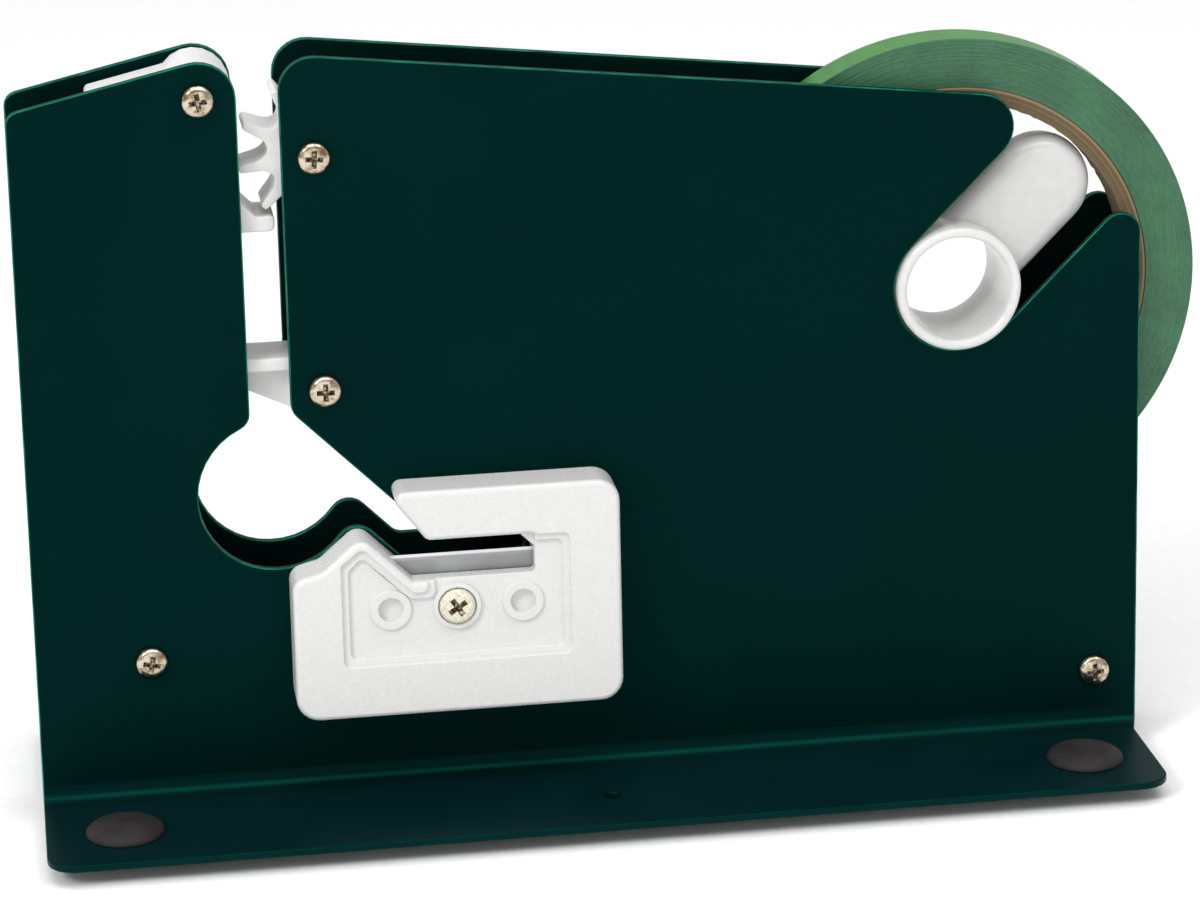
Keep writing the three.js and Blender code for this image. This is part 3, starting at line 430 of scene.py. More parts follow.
def kraft_board(tree, place, colours):
    """Wound kraft board: plies in its ends, loose fibres, and a painted highlight along its outer
    edge.
    """
    reach = from_axis(tree, place, "tape_core")[1]
    # Real plies are about 0.4 mm thick. They are drawn at 0.55 mm so that they show.
    plies = add_node(
        tree, "TexNoise", {"Scale": per(0.55), "Detail": 2}, {"W": reach}, noise_dimensions="1D")
    fibre = add_node(
        tree, "TexNoise", {"Scale": per(0.6), "Detail": 5, "Distortion": 2}, {"Vector": place})
    # The last ply is painted pale where it meets the tape: a painted highlight.
    low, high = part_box("tape_core")
    outer = (high.x - low.x) / 2
    rim_highlight = add_node(
        tree, "MapRange",
        {"From Min": outer - 0.75 * MM, "From Max": outer - 0.4 * MM, "To Max": 0.85},
        {"Value": reach})
    grain = average(tree, plies.outputs["Fac"], fibre.outputs["Fac"])
    kraft = colours.kraft
    return dict(
        tones=(grain, scaled(kraft, 0.75), scaled(kraft, 1.15)),
        levels=(0.36, 0.66),
        relief=(fibre.outputs["Fac"], 0.12, 0.6),
        over=((rim_highlight.outputs["Result"], scaled(kraft, 2.1)),),
        values={"Roughness": 0.92, "Specular IOR Level": 0.25})


def wound_tape(tree, place, colours):
    """The side of tightly wound film: hundreds of layer edges in fine rings."""
    way, reach = from_axis(tree, place, "tape_winding")
    # A layer is about 0.05 mm thick. Its ring is drawn at 0.3 mm so that it shows.
    layers = add_node(
        tree, "TexNoise", {"Scale": per(0.3), "Detail": 2}, {"W": reach}, noise_dimensions="1D")
    # Torn fibres of adhesive lie along the layers, each a few millimetres long.
    around = add_node(tree, "VectorMath", links={0: way}, operation="NORMALIZE")
    spread = add_node(
        tree, "VectorMath", {"Scale": 26}, {0: around.outputs["Vector"]}, operation="SCALE")
    deep = add_node(tree, "Math", {1: per(0.35)}, {0: reach}, operation="MULTIPLY")
    ringed = add_node(tree, "CombineXYZ", links={"Y": deep.outputs["Value"]})
    polar = add_node(
        tree, "VectorMath", {}, {0: spread.outputs["Vector"], 1: ringed.outputs["Vector"]},
        operation="ADD")
    fibres = add_node(
        tree, "TexNoise", {"Scale": 1, "Detail": 4}, {"Vector": polar.outputs["Vector"]})
    scuff = add_node(tree, "TexNoise", {"Scale": per(12), "Detail": 4}, {"Vector": place})
    mixed = average(tree, layers.outputs["Fac"], fibres.outputs["Fac"], scuff.outputs["Fac"])
    tape = colours.tape
    return dict(
        tones=(mixed, scaled(tape, 0.64), scaled(tape, 1.26)),
        levels=(0.4, 0.6),
        roughness=(scuff.outputs["Fac"], 0.42, 0.6),
        relief=(fibres.outputs["Fac"], 0.05, 0.5))


def tape_film(tree, place, colours):
    """The tape's own glossy film, where the roll shows its outer turn."""
    stretch = add_node(tree, "Mapping", {"Scale": (1, 0.15, 1)}, {"Vector": place})
    lines = add_node(
        tree, "TexNoise", {"Scale": per(3), "Detail": 3}, {"Vector": stretch.outputs["Vector"]})
    return dict(
        tones=(lines.outputs["Fac"], scaled(colours.film, 0.7), colours.film),
        roughness=(lines.outputs["Fac"], 0.22, 0.36),
        relief=(lines.outputs["Fac"], 0.03, 0.4),
        values={"Specular IOR Level": 0.3})


def moulded_rubber(tree, place, colours):
    """Black rubber: matt, with a pale bloom and a slightly pitted skin."""
    bloom = add_node(tree, "TexNoise", {"Scale": per(5), "Detail": 5}, {"Vector": place})
    pits = add_node(tree, "TexNoise", {"Scale": per(0.6), "Detail": 3}, {"Vector": place})
    black = colours.rubber
    return dict(
        tones=(bloom.outputs["Fac"], scaled(black, 0.65), scaled(black, 1.5)),
        roughness=(bloom.outputs["Fac"], 0.6, 0.8),
        relief=(pits.outputs["Fac"], 0.06, 0.5),
        values={"Specular IOR Level": 0.35})


def studio_paper(tree, place, colours):
    """Seamless white background paper."""
    tooth = add_node(tree, "TexNoise", {"Scale": per(2), "Detail": 3}, {"Vector": place})
    return dict(
        tones=(tooth.outputs["Fac"], linear("F8F8F8"), linear("FDFDFD")),
        values={"Roughness": 0.95, "Specular IOR Level": 0.1})


def finish(recipe):
    """The material that a recipe makes, made once."""
    name = recipe.__name__
    if name in bpy.data.materials:
        return bpy.data.materials[name]
    material = bpy.data.materials.new(name)
    material.use_nodes = True
    tree = material.node_tree
    place = add_node(tree, "TexCoord").outputs["Object"]
    dressing = recipe(tree, place, bpy.context.scene.sealer_finishes)
    coat(tree, tree.nodes["Principled BSDF"], **dressing)
    return material


# Places in the frame


def middle_of(node):
    """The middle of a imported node's box."""
    low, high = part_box(node)
    return (low + high) / 2


def axis_of(node):
    """Where the axis of a node that lies along Y crosses the sealer's middle plane."""
    middle = middle_of(node)
    return Vector((middle.x, 0, middle.z))


# Shaping


def choose(piece):
    """Makes a piece the only one selected, and the active one."""
    bpy.ops.object.select_all(action="DESELECT")
    piece.select_set(True)
    bpy.context.view_layer.objects.active = piece


def edit_all(piece):
    """Opens a piece for editing, with all of it selected."""
    choose(piece)
    bpy.ops.object.mode_set(mode="EDIT")
    bpy.ops.mesh.select_mode(type="VERT")
    bpy.ops.mesh.select_all(action="SELECT")


def close_edit():
    """Goes back to object mode."""
    bpy.ops.object.mode_set(mode="OBJECT")


def pick(piece, kind, wanted):
    """Selects the faces or the edges that pass a test, with the piece open for editing."""
    bpy.ops.mesh.select_mode(type=kind)
    bpy.ops.mesh.select_all(action="DESELECT")
    mesh = bmesh.from_edit_mesh(piece.data)
    for part in mesh.faces if kind == "FACE" else mesh.edges:
        if wanted(part):
            part.select_set(True)
    bmesh.update_edit_mesh(piece.data)


def give_finishes(piece, *recipes):
    """Fills a piece's material slots with finishes, in their order."""
    for recipe in recipes:
        piece.data.materials.append(finish(recipe))


def use_second_finish(piece, wanted):
    """Gives the faces that pass a test the second of the piece's finishes."""
    edit_all(piece)
    pick(piece, "FACE", wanted)
    piece.active_material_index = 1
    bpy.ops.object.material_slot_assign()
    close_edit()


def modify(piece, kind, **settings):
    """Adds a modifier to a piece and applies it."""
    choose(piece)
    modifier = piece.modifiers.new(kind.title(), kind)
    for setting, value in settings.items():
        setattr(modifier, setting, value)
    bpy.ops.object.modifier_apply(modifier=modifier.name)


def soften(piece, width, segments=3, angle=50, material=-1):
    """Rounds the edges that are sharper than an angle."""
    modify(
        piece, "BEVEL", width=width, segments=segments, limit_method="ANGLE",
        angle_limit=math.radians(angle), material=material, use_clamp_overlap=False,
        miter_outer="MITER_ARC")


def combine(piece, other, operation):
    """Joins another solid to a piece or cuts it out, and takes the other away."""
    modify(piece, "BOOLEAN", object=other, operation=operation, solver="EXACT")
    bpy.data.objects.remove(other)


def draw(name, points):
    """A chain of edges through points, drawn from a single vertex and left open for editing."""
    bpy.ops.object.select_all(action="DESELECT")
    bpy.ops.mesh.primitive_plane_add(size=MM, location=points[0])
    piece = bpy.context.object
    piece.name = name
    piece.data.name = name
    bpy.ops.object.transform_apply()
    edit_all(piece)
    bpy.ops.mesh.merge(type="CENTER")
    for before, after in zip(points, points[1:]):
        bpy.ops.mesh.extrude_region_move(TRANSFORM_OT_translate={"value": after - before})
    bpy.ops.mesh.select_all(action="SELECT")
    return piece


def tidy_shell():
    """Merges doubles and turns the faces outwards, with a piece open for editing."""
    bpy.ops.mesh.select_all(action="SELECT")
    bpy.ops.mesh.remove_doubles(threshold=MERGE)
    bpy.ops.mesh.normals_make_consistent()
    close_edit()


def turned(name, profile, centre, steps, axis=ALONG_Y):
    """A round piece, spun about an axis from a profile of (radius, height) pairs."""
    outwards = Vector((1, 0, 0))
    piece = draw(name, [centre + outwards * r + axis * h for r, h in profile])
    bpy.ops.mesh.spin(steps=steps, angle=math.tau, center=centre, axis=axis)
    tidy_shell()
    return piece


def bar(name, radius, near, far, centre, steps, chamfer=0):
    """A round bar along Y, to be joined to a piece or cut out of it."""
    side = [(radius, near), (radius, far)]
    if chamfer:
        rim = radius - chamfer
        side = [(rim, near), (radius, near + chamfer), (radius, far - chamfer), (rim, far)]
    return turned(name, [(0, near), *side, (0, far)], centre, steps)


def both_ends(half, near, far):
    """A profile of one end's pairs of (radius, depth) and their mirror image at the other."""
    return [(r, near + d) for r, d in half] + [(r, far - d) for r, d in reversed(half)]


def arc(across, up, reach, rise, start, sweep, steps):
    """Pairs along an ellipse about (across, up), from a start and over a sweep in degrees."""
    angles = [math.radians(start + sweep * i / steps) for i in range(steps + 1)]
    return [(across + reach * math.cos(a), up + rise * math.sin(a)) for a in angles]


def cut_out(name, outline, near, far):
    """A flat blank of an outline in X-Z, filled and drawn out along Y."""
    piece = draw(name, [Vector((x, near, z)) for x, z in outline])
    bpy.ops.mesh.edge_face_add()
    bpy.ops.mesh.extrude_region_move(TRANSFORM_OT_translate={"value": (0, far - near, 0)})
    tidy_shell()
    return piece


def from_cad(node, name):
    """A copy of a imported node, with its triangles joined and its flat faces made whole."""
    piece = bpy.data.objects.new(name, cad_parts[node].data.copy())
    bpy.context.scene.collection.objects.link(piece)
    piece.data.name = name
    choose(piece)
    bpy.ops.mesh.customdata_custom_splitnormals_clear()
    edit_all(piece)
    bpy.ops.mesh.remove_doubles(threshold=MERGE)
    bpy.ops.mesh.dissolve_limited(angle_limit=math.radians(1))
    close_edit()
    piece.data.materials.clear()
    return piece


def place_copy(piece, name, placing):
    """A copy of a piece with its own mesh, which a matrix puts in its place."""
    choose(piece)
    bpy.ops.object.duplicate()
    made = bpy.context.object
    made.name = name
    made.data.name = name
    made.data.transform(placing)
    return made


def hand_over(piece, body, node, recipes=(), smooth=40):
    """Smooths a finished piece, gives it its finish and its body, and hides what it stands for."""
    choose(piece)
    bpy.ops.object.shade_smooth_by_angle(angle=math.radians(smooth), keep_sharp_edges=False)
    modify(piece, "WEIGHTED_NORMAL", keep_sharp=True, weight=80)
    give_finishes(piece, *recipes)
    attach(piece, body)
    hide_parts(node)


# Pieces


class SEALER_OT_side_plates(bpy.types.Operator):
    """Round the cut edges of both bent side plates and enamel them"""

    bl_idname = "sealer.side_plates"
    bl_label = "Side plates"

    def execute(self, context):
        for node in ("front_side_plate", "rear_side_plate"):
            plate = from_cad(node, node + "_enamelled")
            give_finishes(plate, satin_enamel, painted_edge_highlight)
            # The rounded edges take the second finish, the painted edge highlight.
            soften(plate, context.scene.sealer_sizes.plate_edge, material=1)
            hand_over(plate, "frame", node, smooth=35)
        return {"FINISHED"}


class SEALER_OT_posts(bpy.types.Operator):
    """Turn the five round posts between the plates"""

    bl_idname = "sealer.posts"
    bl_label = "Posts"

    def execute(self, context):
        hole = context.scene.sealer_sizes.post_hole
        depth = context.scene.sealer_sizes.post_depth
        chamfer = 0.4 * MM
        drill_point = hole * 0.6
        for node in POSTS:
            low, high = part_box(node)
            radius = (high.z - low.z) / 2
            end = [
                (0, depth + drill_point), (hole, depth), (hole, chamfer), (hole + chamfer, 0),
                (radius - chamfer, 0), (radius, chamfer),
            ]
            post = turned(node + "_turned", both_ends(end, low.y, high.y), axis_of(node), 40)
            hand_over(post, "frame", node, [turned_steel])
        return {"FINISHED"}


def recess_cutter(centre, top, bottom, reach, width, turn):
    """A cross that tapers from its top to its bottom, two places on Y, to cut a recess."""
    taper = 0.4
    arms = []
    for quarter in (0, 1):
        bpy.ops.object.select_all(action="DESELECT")
        bpy.ops.mesh.primitive_cube_add(size=1, location=(centre.x, (top + bottom) / 2, centre.z))
        arm = bpy.context.object
        arm.scale = (2 * reach, bottom - top, width)
        bpy.ops.object.transform_apply(location=False, rotation=False, scale=True)
        edit_all(arm)
        pick(arm, "FACE", lambda face: face.normal.y > 0.9)
        bpy.ops.transform.resize(value=(taper, 1, taper))
        close_edit()
        arm.rotation_euler.y = turn + quarter * math.pi / 2
        bpy.ops.object.transform_apply()
        arms.append(arm)
    combine(arms[0], arms[1], "UNION")
    return arms[0]


# How a head's crown falls away: shares of its radius and of its height.
PAN_CROWN = ((0.3, 0.985), (0.55, 0.95), (0.76, 0.86), (0.9, 0.72), (0.98, 0.52), (1, 0.3))
FLAT_CROWN = ((0.4, 0.995), (0.7, 0.98), (0.84, 0.93), (0.93, 0.84), (0.985, 0.68), (1, 0.45))


def pan_screw(name, centre, head, crown, shank, reach, turn, plating, shape=PAN_CROWN):
    """A pan head screw along Y whose head stands on centre and whose shank runs to +Y."""
    brim = 0.12 * MM
    thread = 0.28 * MM
    pitch = 0.8 * MM
    neck = 0.6 * MM
    tip = 0.5 * MM
    profile = [(0, -crown)]
    profile += [(head * share, -crown * lift) for share, lift in shape]
    profile += [(head, -brim), (head - brim, 0), (shank - thread, 0)]
    for i in range(int((reach - 2 * neck) / pitch)):
        root = neck + i * pitch
        profile += [
            (shank - thread, root), (shank, root + pitch * 0.42), (shank, root + pitch * 0.55)]
    profile += [(shank - thread, reach - tip), (shank - 2 * thread, reach), (0, reach)]
    screw = turned(name, profile, centre, 40)
    # The recess goes 1.3 mm deep and two thirds of the way to the head's edge.
    top = centre.y - crown
    cutter = recess_cutter(
        centre, top - 0.5 * MM, top + 1.3 * MM, head * 0.68, head * 0.38, turn)
    # The recess's faces take the second finish, painted shade.
    for piece in (screw, cutter):
        give_finishes(piece, plating, painted_recess_shade)
    use_second_finish(cutter, lambda face: True)
    combine(screw, cutter, "DIFFERENCE")
    return screw


class SEALER_OT_plate_screws(bpy.types.Operator):
    """Make one pan head screw and put a copy in each end of each post"""

    bl_idname = "sealer.plate_screws"
    bl_label = "Plate screws"

    def execute(self, context):
        sizes = context.scene.sealer_sizes
        front_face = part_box("press_axle_screw_front")[0].y + sizes.screw_crown
        rear_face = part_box("press_axle_screw_rear")[1].y - sizes.screw_crown
        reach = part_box("press_axle_screw_front")[1].y - front_face
        master = pan_screw(
            "screw_master", Vector(), sizes.screw_head, sizes.screw_crown,
            sizes.screw_shank, reach, 0, nickel_plate)
        # The recesses stand nearly upright, each a little off, as the screws were driven.
        for post, off in zip(POSTS, (-8, 4, 1, 12, -5)):
            axis = axis_of(post + "_screw_front")
            for side, face, flip, stop in (
                ("front", front_face, 0, off),
                ("rear", rear_face, math.pi, 2 * off - 9),
            ):
                node = f"{post}_screw_{side}"
                screw = place_copy(
                    master, node + "_plated",
                    Matrix.Translation((axis.x, face, axis.z))
                    @ Matrix.Rotation(flip, 4, "Z")
                    @ Matrix.Rotation(math.radians(stop), 4, "Y"))
                hand_over(screw, "frame", node, smooth=32)
        bpy.data.objects.remove(master)
        return {"FINISHED"}


# One tooth from gullet to gullet: the share of the way from root to tip, and of the pitch.
STAR_TOOTH = (
    (0, -0.5), (0.025, -0.403), (0.1, -0.306), (0.217, -0.233), (0.367, -0.186), (0.567, -0.156),
    (0.767, -0.136), (0.9, -0.119), (0.975, -0.097), (1, -0.067), (1, 0.011), (0.967, 0.042),
    (0.867, 0.061), (0.7, 0.086), (0.5, 0.117), (0.333, 0.142), (0.217, 0.181), (0.117, 0.25),
    (0.042, 0.347), (0.008, 0.431),
)


def star_outline(centre, sizes):
    """The star wheel's outline: hooked teeth with round gullets between them."""
    pitch = math.tau / sizes.star_teeth
    points = []
    for i in range(sizes.star_teeth):
        for rise, share in STAR_TOOTH:
            reach = sizes.star_root + (sizes.star_tip - sizes.star_root) * rise
            turn = sizes.star_phase + pitch * (i + share)
            points.append((centre.x + reach * math.cos(turn), centre.z + reach * math.sin(turn)))
    return points


class SEALER_OT_star_wheel(bpy.types.Operator):
    """Cut the star wheel's hooked teeth, join its boss and bore it for the axle"""

    bl_idname = "sealer.star_wheel"
    bl_label = "Star wheel"

    def execute(self, context):
        sizes = context.scene.sealer_sizes
        low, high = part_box("star_wheel")
        centre = axis_of("star_axle")
        half = sizes.star_width / 2
        tooth_edge = 0.35 * MM
        boss_edge = 0.4 * MM
        spare = MM
        wheel = cut_out("star_wheel_moulded", star_outline(centre, sizes), -half, half)
        soften(wheel, tooth_edge, segments=2, angle=55)
        boss = bar("star_boss", sizes.star_boss, low.y, high.y, centre, 40, boss_edge)
        combine(wheel, boss, "UNION")
        bore = bar("star_bore", sizes.star_bore, low.y - spare, high.y + spare, centre, 40)
        combine(wheel, bore, "DIFFERENCE")
        hand_over(wheel, "star", "star_wheel", [smooth_plastic], smooth=35)
        return {"FINISHED"}


class SEALER_OT_levers(bpy.types.Operator):
    """Round the moulded edges of the press lever and the gate lever"""

    bl_idname = "sealer.levers"
    bl_label = "Press and gate levers"

    def execute(self, context):
        for body in ("press", "gate"):
            node = body + "_lever"
            lever = from_cad(node, node + "_moulded")
            soften(lever, context.scene.sealer_sizes.lever_edge)
            hand_over(lever, body, node, [smooth_plastic], smooth=35)
        return {"FINISHED"}


class SEALER_OT_tape_cutter(bpy.types.Operator):
    """Round the edges of the toothed strip in the gate lever's tail"""

    bl_idname = "sealer.tape_cutter"
    bl_label = "Tape cutter"

    def execute(self, context):
        cutter = from_cad("tape_cutter_blade", "tape_cutter_ground")
        soften(cutter, context.scene.sealer_sizes.cutter_edge, segments=2)
        hand_over(
            cutter, "gate", "tape_cutter_blade", [hardened_steel], smooth=30)
        return {"FINISHED"}


class SEALER_OT_springs(bpy.types.Operator):
    """Wind a return spring, draw out its legs and put a copy on each lever's axle"""

    bl_idname = "sealer.springs"
    bl_label = "Return springs"

    def execute(self, context):
        sizes = context.scene.sealer_sizes
        wire = sizes.spring_wire
        leg = sizes.spring_leg
        lean = leg * 0.3
        bpy.ops.object.select_all(action="DESELECT")
        bpy.ops.mesh.primitive_circle_add(vertices=12, radius=wire / 2, location=(0, 0, 0))
        master = bpy.context.object
        edit_all(master)
        bpy.ops.transform.translate(value=(sizes.spring_coil, 0, 0))
        close_edit()
        modify(
            master, "SCREW", axis="Y", angle=math.tau, screw_offset=sizes.spring_pitch,
            iterations=sizes.spring_turns, steps=32, render_steps=32)
        edit_all(master)
        for end, pull in ((0, -leg), (sizes.spring_pitch * sizes.spring_turns, leg)):
            pick(master, "EDGE", lambda edge: edge.is_boundary and abs(
                (edge.verts[0].co.y + edge.verts[1].co.y) / 2 - end) < wire)
            bpy.ops.mesh.extrude_region_move(TRANSFORM_OT_translate={"value": (-lean, 0, pull)})
            bpy.ops.mesh.edge_face_add()
        tidy_shell()
        for body in ("press", "gate"):
            node = body + "_spring"
            place = axis_of(body + "_axle")
            place.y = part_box(node)[0].y + wire / 2
            spring = place_copy(master, node + "_wound", Matrix.Translation(place))
            hand_over(spring, body, node, [spring_wire])
        bpy.data.objects.remove(master)
        return {"FINISHED"}


class SEALER_OT_tape_hub(bpy.types.Operator):
    """Mould the tape hub: a tube through both plates with two flat arms that fill the core"""

    bl_idname = "sealer.tape_hub"
    bl_label = "Tape hub"

    def execute(self, context):
        sizes = context.scene.sealer_sizes
        low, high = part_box("tape_hub")
        centre = axis_of("tape_hub")
        radius = sizes.hub_tube
        inner = radius - sizes.hub_wall
        lip = sizes.hub_lip
        end = arc(inner + lip, lip, lip, lip, 180, 90, 6)
        end += arc(radius - lip, lip, lip, lip, -90, 90, 6)
        ring = both_ends(end, low.y, high.y)
        tube = turned("hub_tube", ring + ring[:1], centre, 72)
        # The arms rise at 45 degrees, one each way, and end in half circles.
        half = sizes.hub_arm / 2
        run = (sizes.hub_reach - half) * math.cos(math.radians(45))
        outline = arc(centre.x + run, centre.z + run, half, half, -45, 180, 24)
        outline += arc(centre.x - run, centre.z - run, half, half, 135, 180, 24)
        roll_low, roll_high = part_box("tape_winding")
        hub = cut_out("tape_hub_moulded", outline, roll_low.y, roll_high.y)
        soften(hub, sizes.hub_arm_edge, segments=5)
        # A plug carries the arms into the tube's wall before the bore is opened again.
        inset = 2 * MM
        plug = bar("hub_plug", radius - MM, low.y + inset, high.y - inset, centre, 72)
        combine(hub, plug, "UNION")
        bore = bar("hub_bore", inner + 0.02 * MM, low.y, high.y, centre, 72)
        combine(hub, bore, "DIFFERENCE")
        combine(hub, tube, "UNION")
        hand_over(hub, "hub", "tape_hub", [glossy_plastic], smooth=32)
        return {"FINISHED"}


class SEALER_OT_tape_core(bpy.types.Operator):
    """Turn the card core, with its edges rounded"""

    bl_idname = "sealer.tape_core"
    bl_label = "Tape core"

    def execute(self, context):
        sizes = context.scene.sealer_sizes
        low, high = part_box("tape_core")
        centre = axis_of("tape_core")
        inner = sizes.core_bore
        outer = inner + sizes.core_wall
        edge = 0.35 * MM
        burr = 0.16 * MM
        ring = both_ends([
            (inner, edge), (inner + edge * 0.3, edge * 0.3), (inner + edge, 0),
            (outer - edge, 0), (outer, edge),
        ], low.y, high.y)
        core = turned("tape_core_wound", ring + ring[:1], centre, 240)
        edit_all(core)
        pick(core, "EDGE", lambda line: all(
            (Vector((corner.co.x, 0, corner.co.z)) - centre).length < inner + 0.2 * MM
            for corner in line.verts))
        bpy.ops.transform.vertex_random(offset=burr, seed=3)
        close_edit()
        hand_over(core, "roll", "tape_core", [kraft_board])
        return {"FINISHED"}


class SEALER_OT_tape_winding(bpy.types.Operator):
    """Wind the tape: a side of fine steps, and the film itself on the outer turn"""

    bl_idname = "sealer.tape_winding"
    bl_label = "Tape winding"

    def execute(self, context):
        sizes = context.scene.sealer_sizes
        low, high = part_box("tape_winding")
        centre = axis_of("tape_winding")
        inner = sizes.core_bore + sizes.core_wall + 0.05 * MM
        outer = (high.x - low.x) / 2
        rim = outer - 0.1 * MM
        wander = 0.035 * MM
        steps = 24
        side = []
        for i in range(steps + 1):
            # The turns wander by a few hundredths of a millimetre, as wound tape does.
            drift = wander * (1 + math.sin(i * 2.1)) * (1 if 0 < i < steps else 0.2)
            side.append((inner + (rim - inner) * i / steps, drift))
        side.append((outer, 0.12 * MM))
        ring = both_ends(side, low.y, high.y)
        winding = turned("tape_winding_wound", ring + ring[:1], centre, 180)
        give_finishes(winding, wound_tape, tape_film)
        # The outer turn's faces look away from the axis.
        use_second_finish(winding, lambda face: abs(face.normal.y) < 0.3 and (
            face.calc_center_median() - centre).length > outer - 0.4 * MM)
        hand_over(winding, "roll", "tape_winding")
        return {"FINISHED"}


class SEALER_OT_trimmer_housing(bpy.types.Operator):
    """Round the steps, rings and walls of the trimmer housing and give it its grain"""

    bl_idname = "sealer.trimmer_housing"
    bl_label = "Trimmer housing"

    def execute(self, context):
        housing = from_cad("trimmer_housing", "trimmer_housing_moulded")
        soften(housing, context.scene.sealer_sizes.housing_edge)
        hand_over(housing, "frame", "trimmer_housing", [grained_plastic])
        return {"FINISHED"}


class SEALER_OT_trimmer_blade(bpy.types.Operator):
    """Grind the blade's bevelled edge"""

    bl_idname = "sealer.trimmer_blade"
    bl_label = "Trimmer blade"

    def execute(self, context):
        blade = from_cad("trimmer_blade", "trimmer_blade_ground")
        give_finishes(blade, hardened_steel, ground_edge)
        use_second_finish(blade, lambda face: face.normal.z > 0.05)
        hand_over(blade, "frame", "trimmer_blade", smooth=10)
        return {"FINISHED"}


class SEALER_OT_trimmer_fasteners(bpy.types.Operator):
    """Make the trimmer's screw and its nut behind the plate"""

    bl_idname = "sealer.trimmer_fasteners"
    bl_label = "Trimmer screw and nut"

    def execute(self, context):
        sizes = context.scene.sealer_sizes
        low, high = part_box("trimmer_screw")
        centre = axis_of("trimmer_screw")
        centre.y = low.y + sizes.trimmer_crown
        screw = pan_screw(
            "trimmer_screw_plated", centre, (high.x - low.x) / 2, sizes.trimmer_crown,
            sizes.trimmer_shank, high.y - centre.y, math.radians(-33), passivated_zinc,
            FLAT_CROWN)
        hand_over(screw, "frame", "trimmer_screw", smooth=32)
        nut = from_cad("trimmer_nut", "trimmer_nut_plated")
        soften(nut, sizes.nut_edge, segments=2, angle=35)
        hand_over(nut, "frame", "trimmer_nut", [passivated_zinc], smooth=25)
        return {"FINISHED"}


class SEALER_OT_feet(bpy.types.Operator):
    """Mould one rubber foot and push a copy through each flange hole"""

    bl_idname = "sealer.feet"
    bl_label = "Rubber feet"

    def execute(self, context):
        sizes = context.scene.sealer_sizes
        low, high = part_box(FEET[0])
        radius = (high.x - low.x) / 2
        stem = sizes.foot_stem
        pad = sizes.foot_pad
        pad_top = sizes.foot_pad_height
        # The cap's rim stands just clear of the flange, with its dome on top.
        rim = FLANGE_TOP + 0.35 * MM
        edge = 0.7 * MM
        brim = 0.2 * MM
        profile = arc(0, rim, radius, high.z - rim, 90, -90, 12) + [
            (radius, FLANGE_TOP + 0.2 * MM), (stem, FLANGE_TOP + 0.15 * MM), (stem, pad_top),
            (pad - brim, pad_top), (pad, pad_top - brim), (pad, edge),
            (pad - edge * 0.3, edge * 0.3), (pad - edge, 0), (0, 0),
        ]
        start = middle_of(FEET[0])
        start.z = 0
        master = turned("foot_master", profile, start, 64, ALONG_Z)
        for node in FEET:
            way = middle_of(node) - start
            foot = place_copy(master, node + "_rubber", Matrix.Translation((way.x, way.y, 0)))
            hand_over(foot, "frame", node, [moulded_rubber], smooth=50)
        bpy.data.objects.remove(master)
        return {"FINISHED"}


# The soft lights: name, place in metres, width, depth and power in watts.
LIGHTS = (
    ("key_light", (-1.2, -1.05, 1.23), 0.45, 0.45, 14),
    ("front_light", (-0.25, -1.9, 0.4), 1.6, 1.0, 4),
    ("strip_light", (0.25, -0.9, 1.7), 2.4, 0.06, 6),
    ("top_light", (0, -0.3, 2.2), 2.4, 2.4, 26),
)


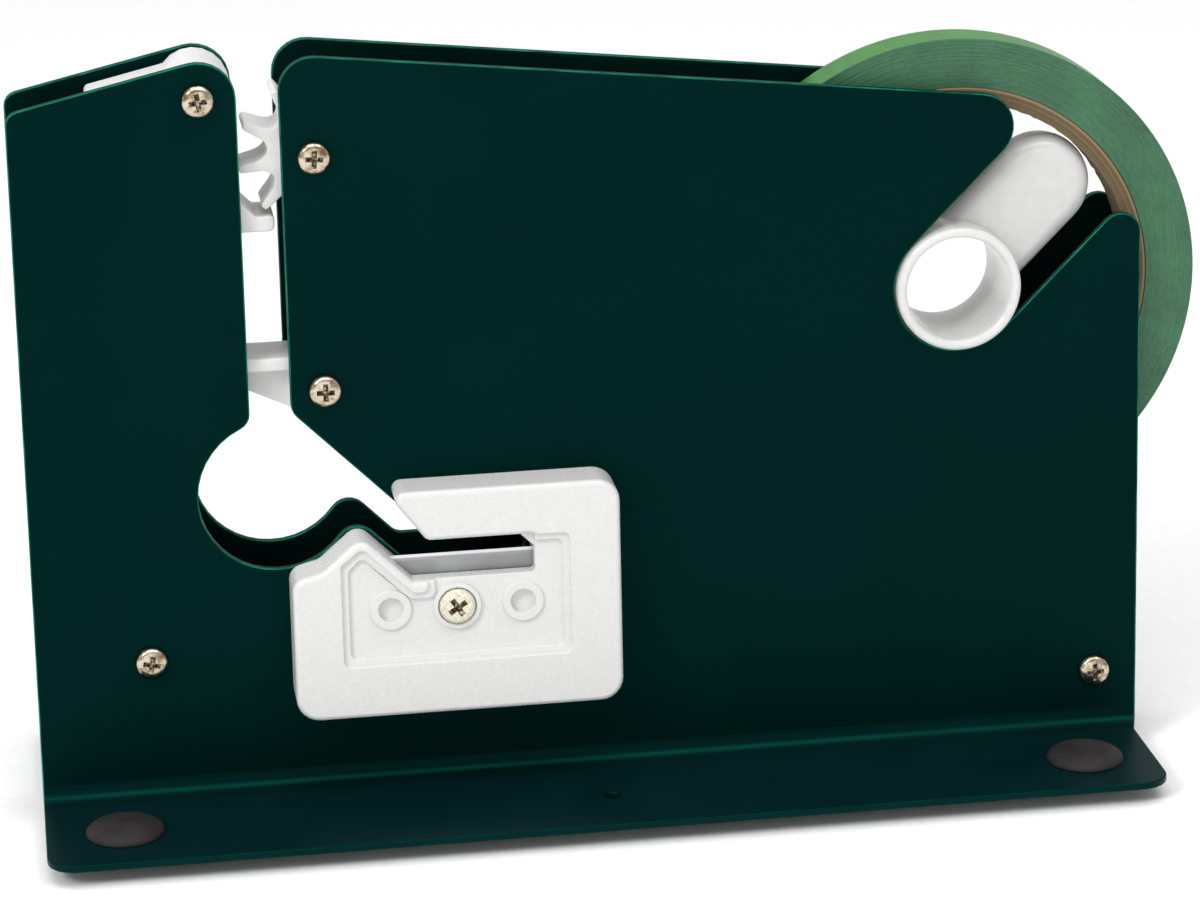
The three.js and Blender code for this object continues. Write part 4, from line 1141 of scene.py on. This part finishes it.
class SEALER_OT_studio(bpy.types.Operator):
    """Lay the white floor, hang the soft lights and set up the camera"""

    bl_idname = "sealer.studio"
    bl_label = "Studio"

    def execute(self, context):
        scene = context.scene
        bpy.ops.object.select_all(action="DESELECT")
        bpy.ops.mesh.primitive_plane_add(size=12, location=(0, 0, 0))
        floor = bpy.context.object
        floor.name = "studio_floor"
        give_finishes(floor, studio_paper)

        world = bpy.data.worlds.new("studio_air")
        world.use_nodes = True
        background = world.node_tree.nodes["Background"]
        background.inputs["Color"].default_value = (1, 1, 1, 1)
        background.inputs["Strength"].default_value = 0.56
        scene.world = world

        for name, place, width, depth, power in LIGHTS:
            bpy.ops.object.light_add(type="AREA", location=place)
            light = bpy.context.object
            light.name = name
            light.data.shape = "RECTANGLE"
            light.data.size = width
            light.data.size_y = depth
            light.data.energy = power
            aim = Vector((0, 0, 0.07)) - Vector(place)
            light.rotation_euler = aim.to_track_quat("-Z", "Y").to_euler()

        bpy.ops.object.camera_add()
        camera = bpy.context.object
        camera.name = "studio_camera"
        right = Vector((0.988951, -0.146714, -0.021257))
        up = Vector((0.057379, 0.246606, 0.967416))
        back = Vector((-0.136691, -0.957946, 0.252299))
        turn = Matrix((right, up, back)).transposed()
        camera.matrix_world = Matrix.Translation((-0.121935, -0.828927, 0.339785)) @ turn.to_4x4()
        camera.data.lens = 126.21
        # The photo is a crop from above and below its optical axis, so the lens is shifted.
        camera.data.shift_x = 0.00549
        camera.data.shift_y = -0.19742
        camera.data.clip_start = 0.01
        scene.camera = camera
        scene.view_settings.view_transform = "Standard"
        return {"FINISHED"}


PIECES = (
    SEALER_OT_side_plates,
    SEALER_OT_posts,
    SEALER_OT_plate_screws,
    SEALER_OT_star_wheel,
    SEALER_OT_levers,
    SEALER_OT_tape_cutter,
    SEALER_OT_springs,
    SEALER_OT_tape_hub,
    SEALER_OT_tape_core,
    SEALER_OT_tape_winding,
    SEALER_OT_trimmer_housing,
    SEALER_OT_trimmer_blade,
    SEALER_OT_trimmer_fasteners,
    SEALER_OT_feet,
    SEALER_OT_studio,
)


class SEALER_PT_panel(bpy.types.Panel):
    """Lists the sealer's sizes, colours and pieces"""

    bl_idname = "SEALER_PT_panel"
    bl_label = "Bag neck sealer"
    bl_space_type = "VIEW_3D"
    bl_region_type = "UI"
    bl_category = "Bag Sealer"

    def draw(self, context):
        for title, group in (
            ("Sizes", context.scene.sealer_sizes),
            ("Colours", context.scene.sealer_finishes),
        ):
            box = self.layout.box()
            box.label(text=title)
            for name in group.__annotations__:
                box.prop(group, name)
        for piece in PIECES:
            self.layout.operator(piece.bl_idname)


CLASSES = (SealerSizes, SealerFinishes, *PIECES, SEALER_PT_panel)


def register():
    for made in CLASSES:
        bpy.utils.register_class(made)
    bpy.types.Scene.sealer_sizes = PointerProperty(type=SealerSizes)
    bpy.types.Scene.sealer_finishes = PointerProperty(type=SealerFinishes)


def unregister():
    del bpy.types.Scene.sealer_finishes
    del bpy.types.Scene.sealer_sizes
    for made in reversed(CLASSES):
        bpy.utils.unregister_class(made)


def main():
    """Builds every piece and the studio."""
    register()
    for piece in PIECES:
        group, name = piece.bl_idname.split(".")
        getattr(getattr(bpy.ops, group), name)()


if __name__ == "__main__":
    main()
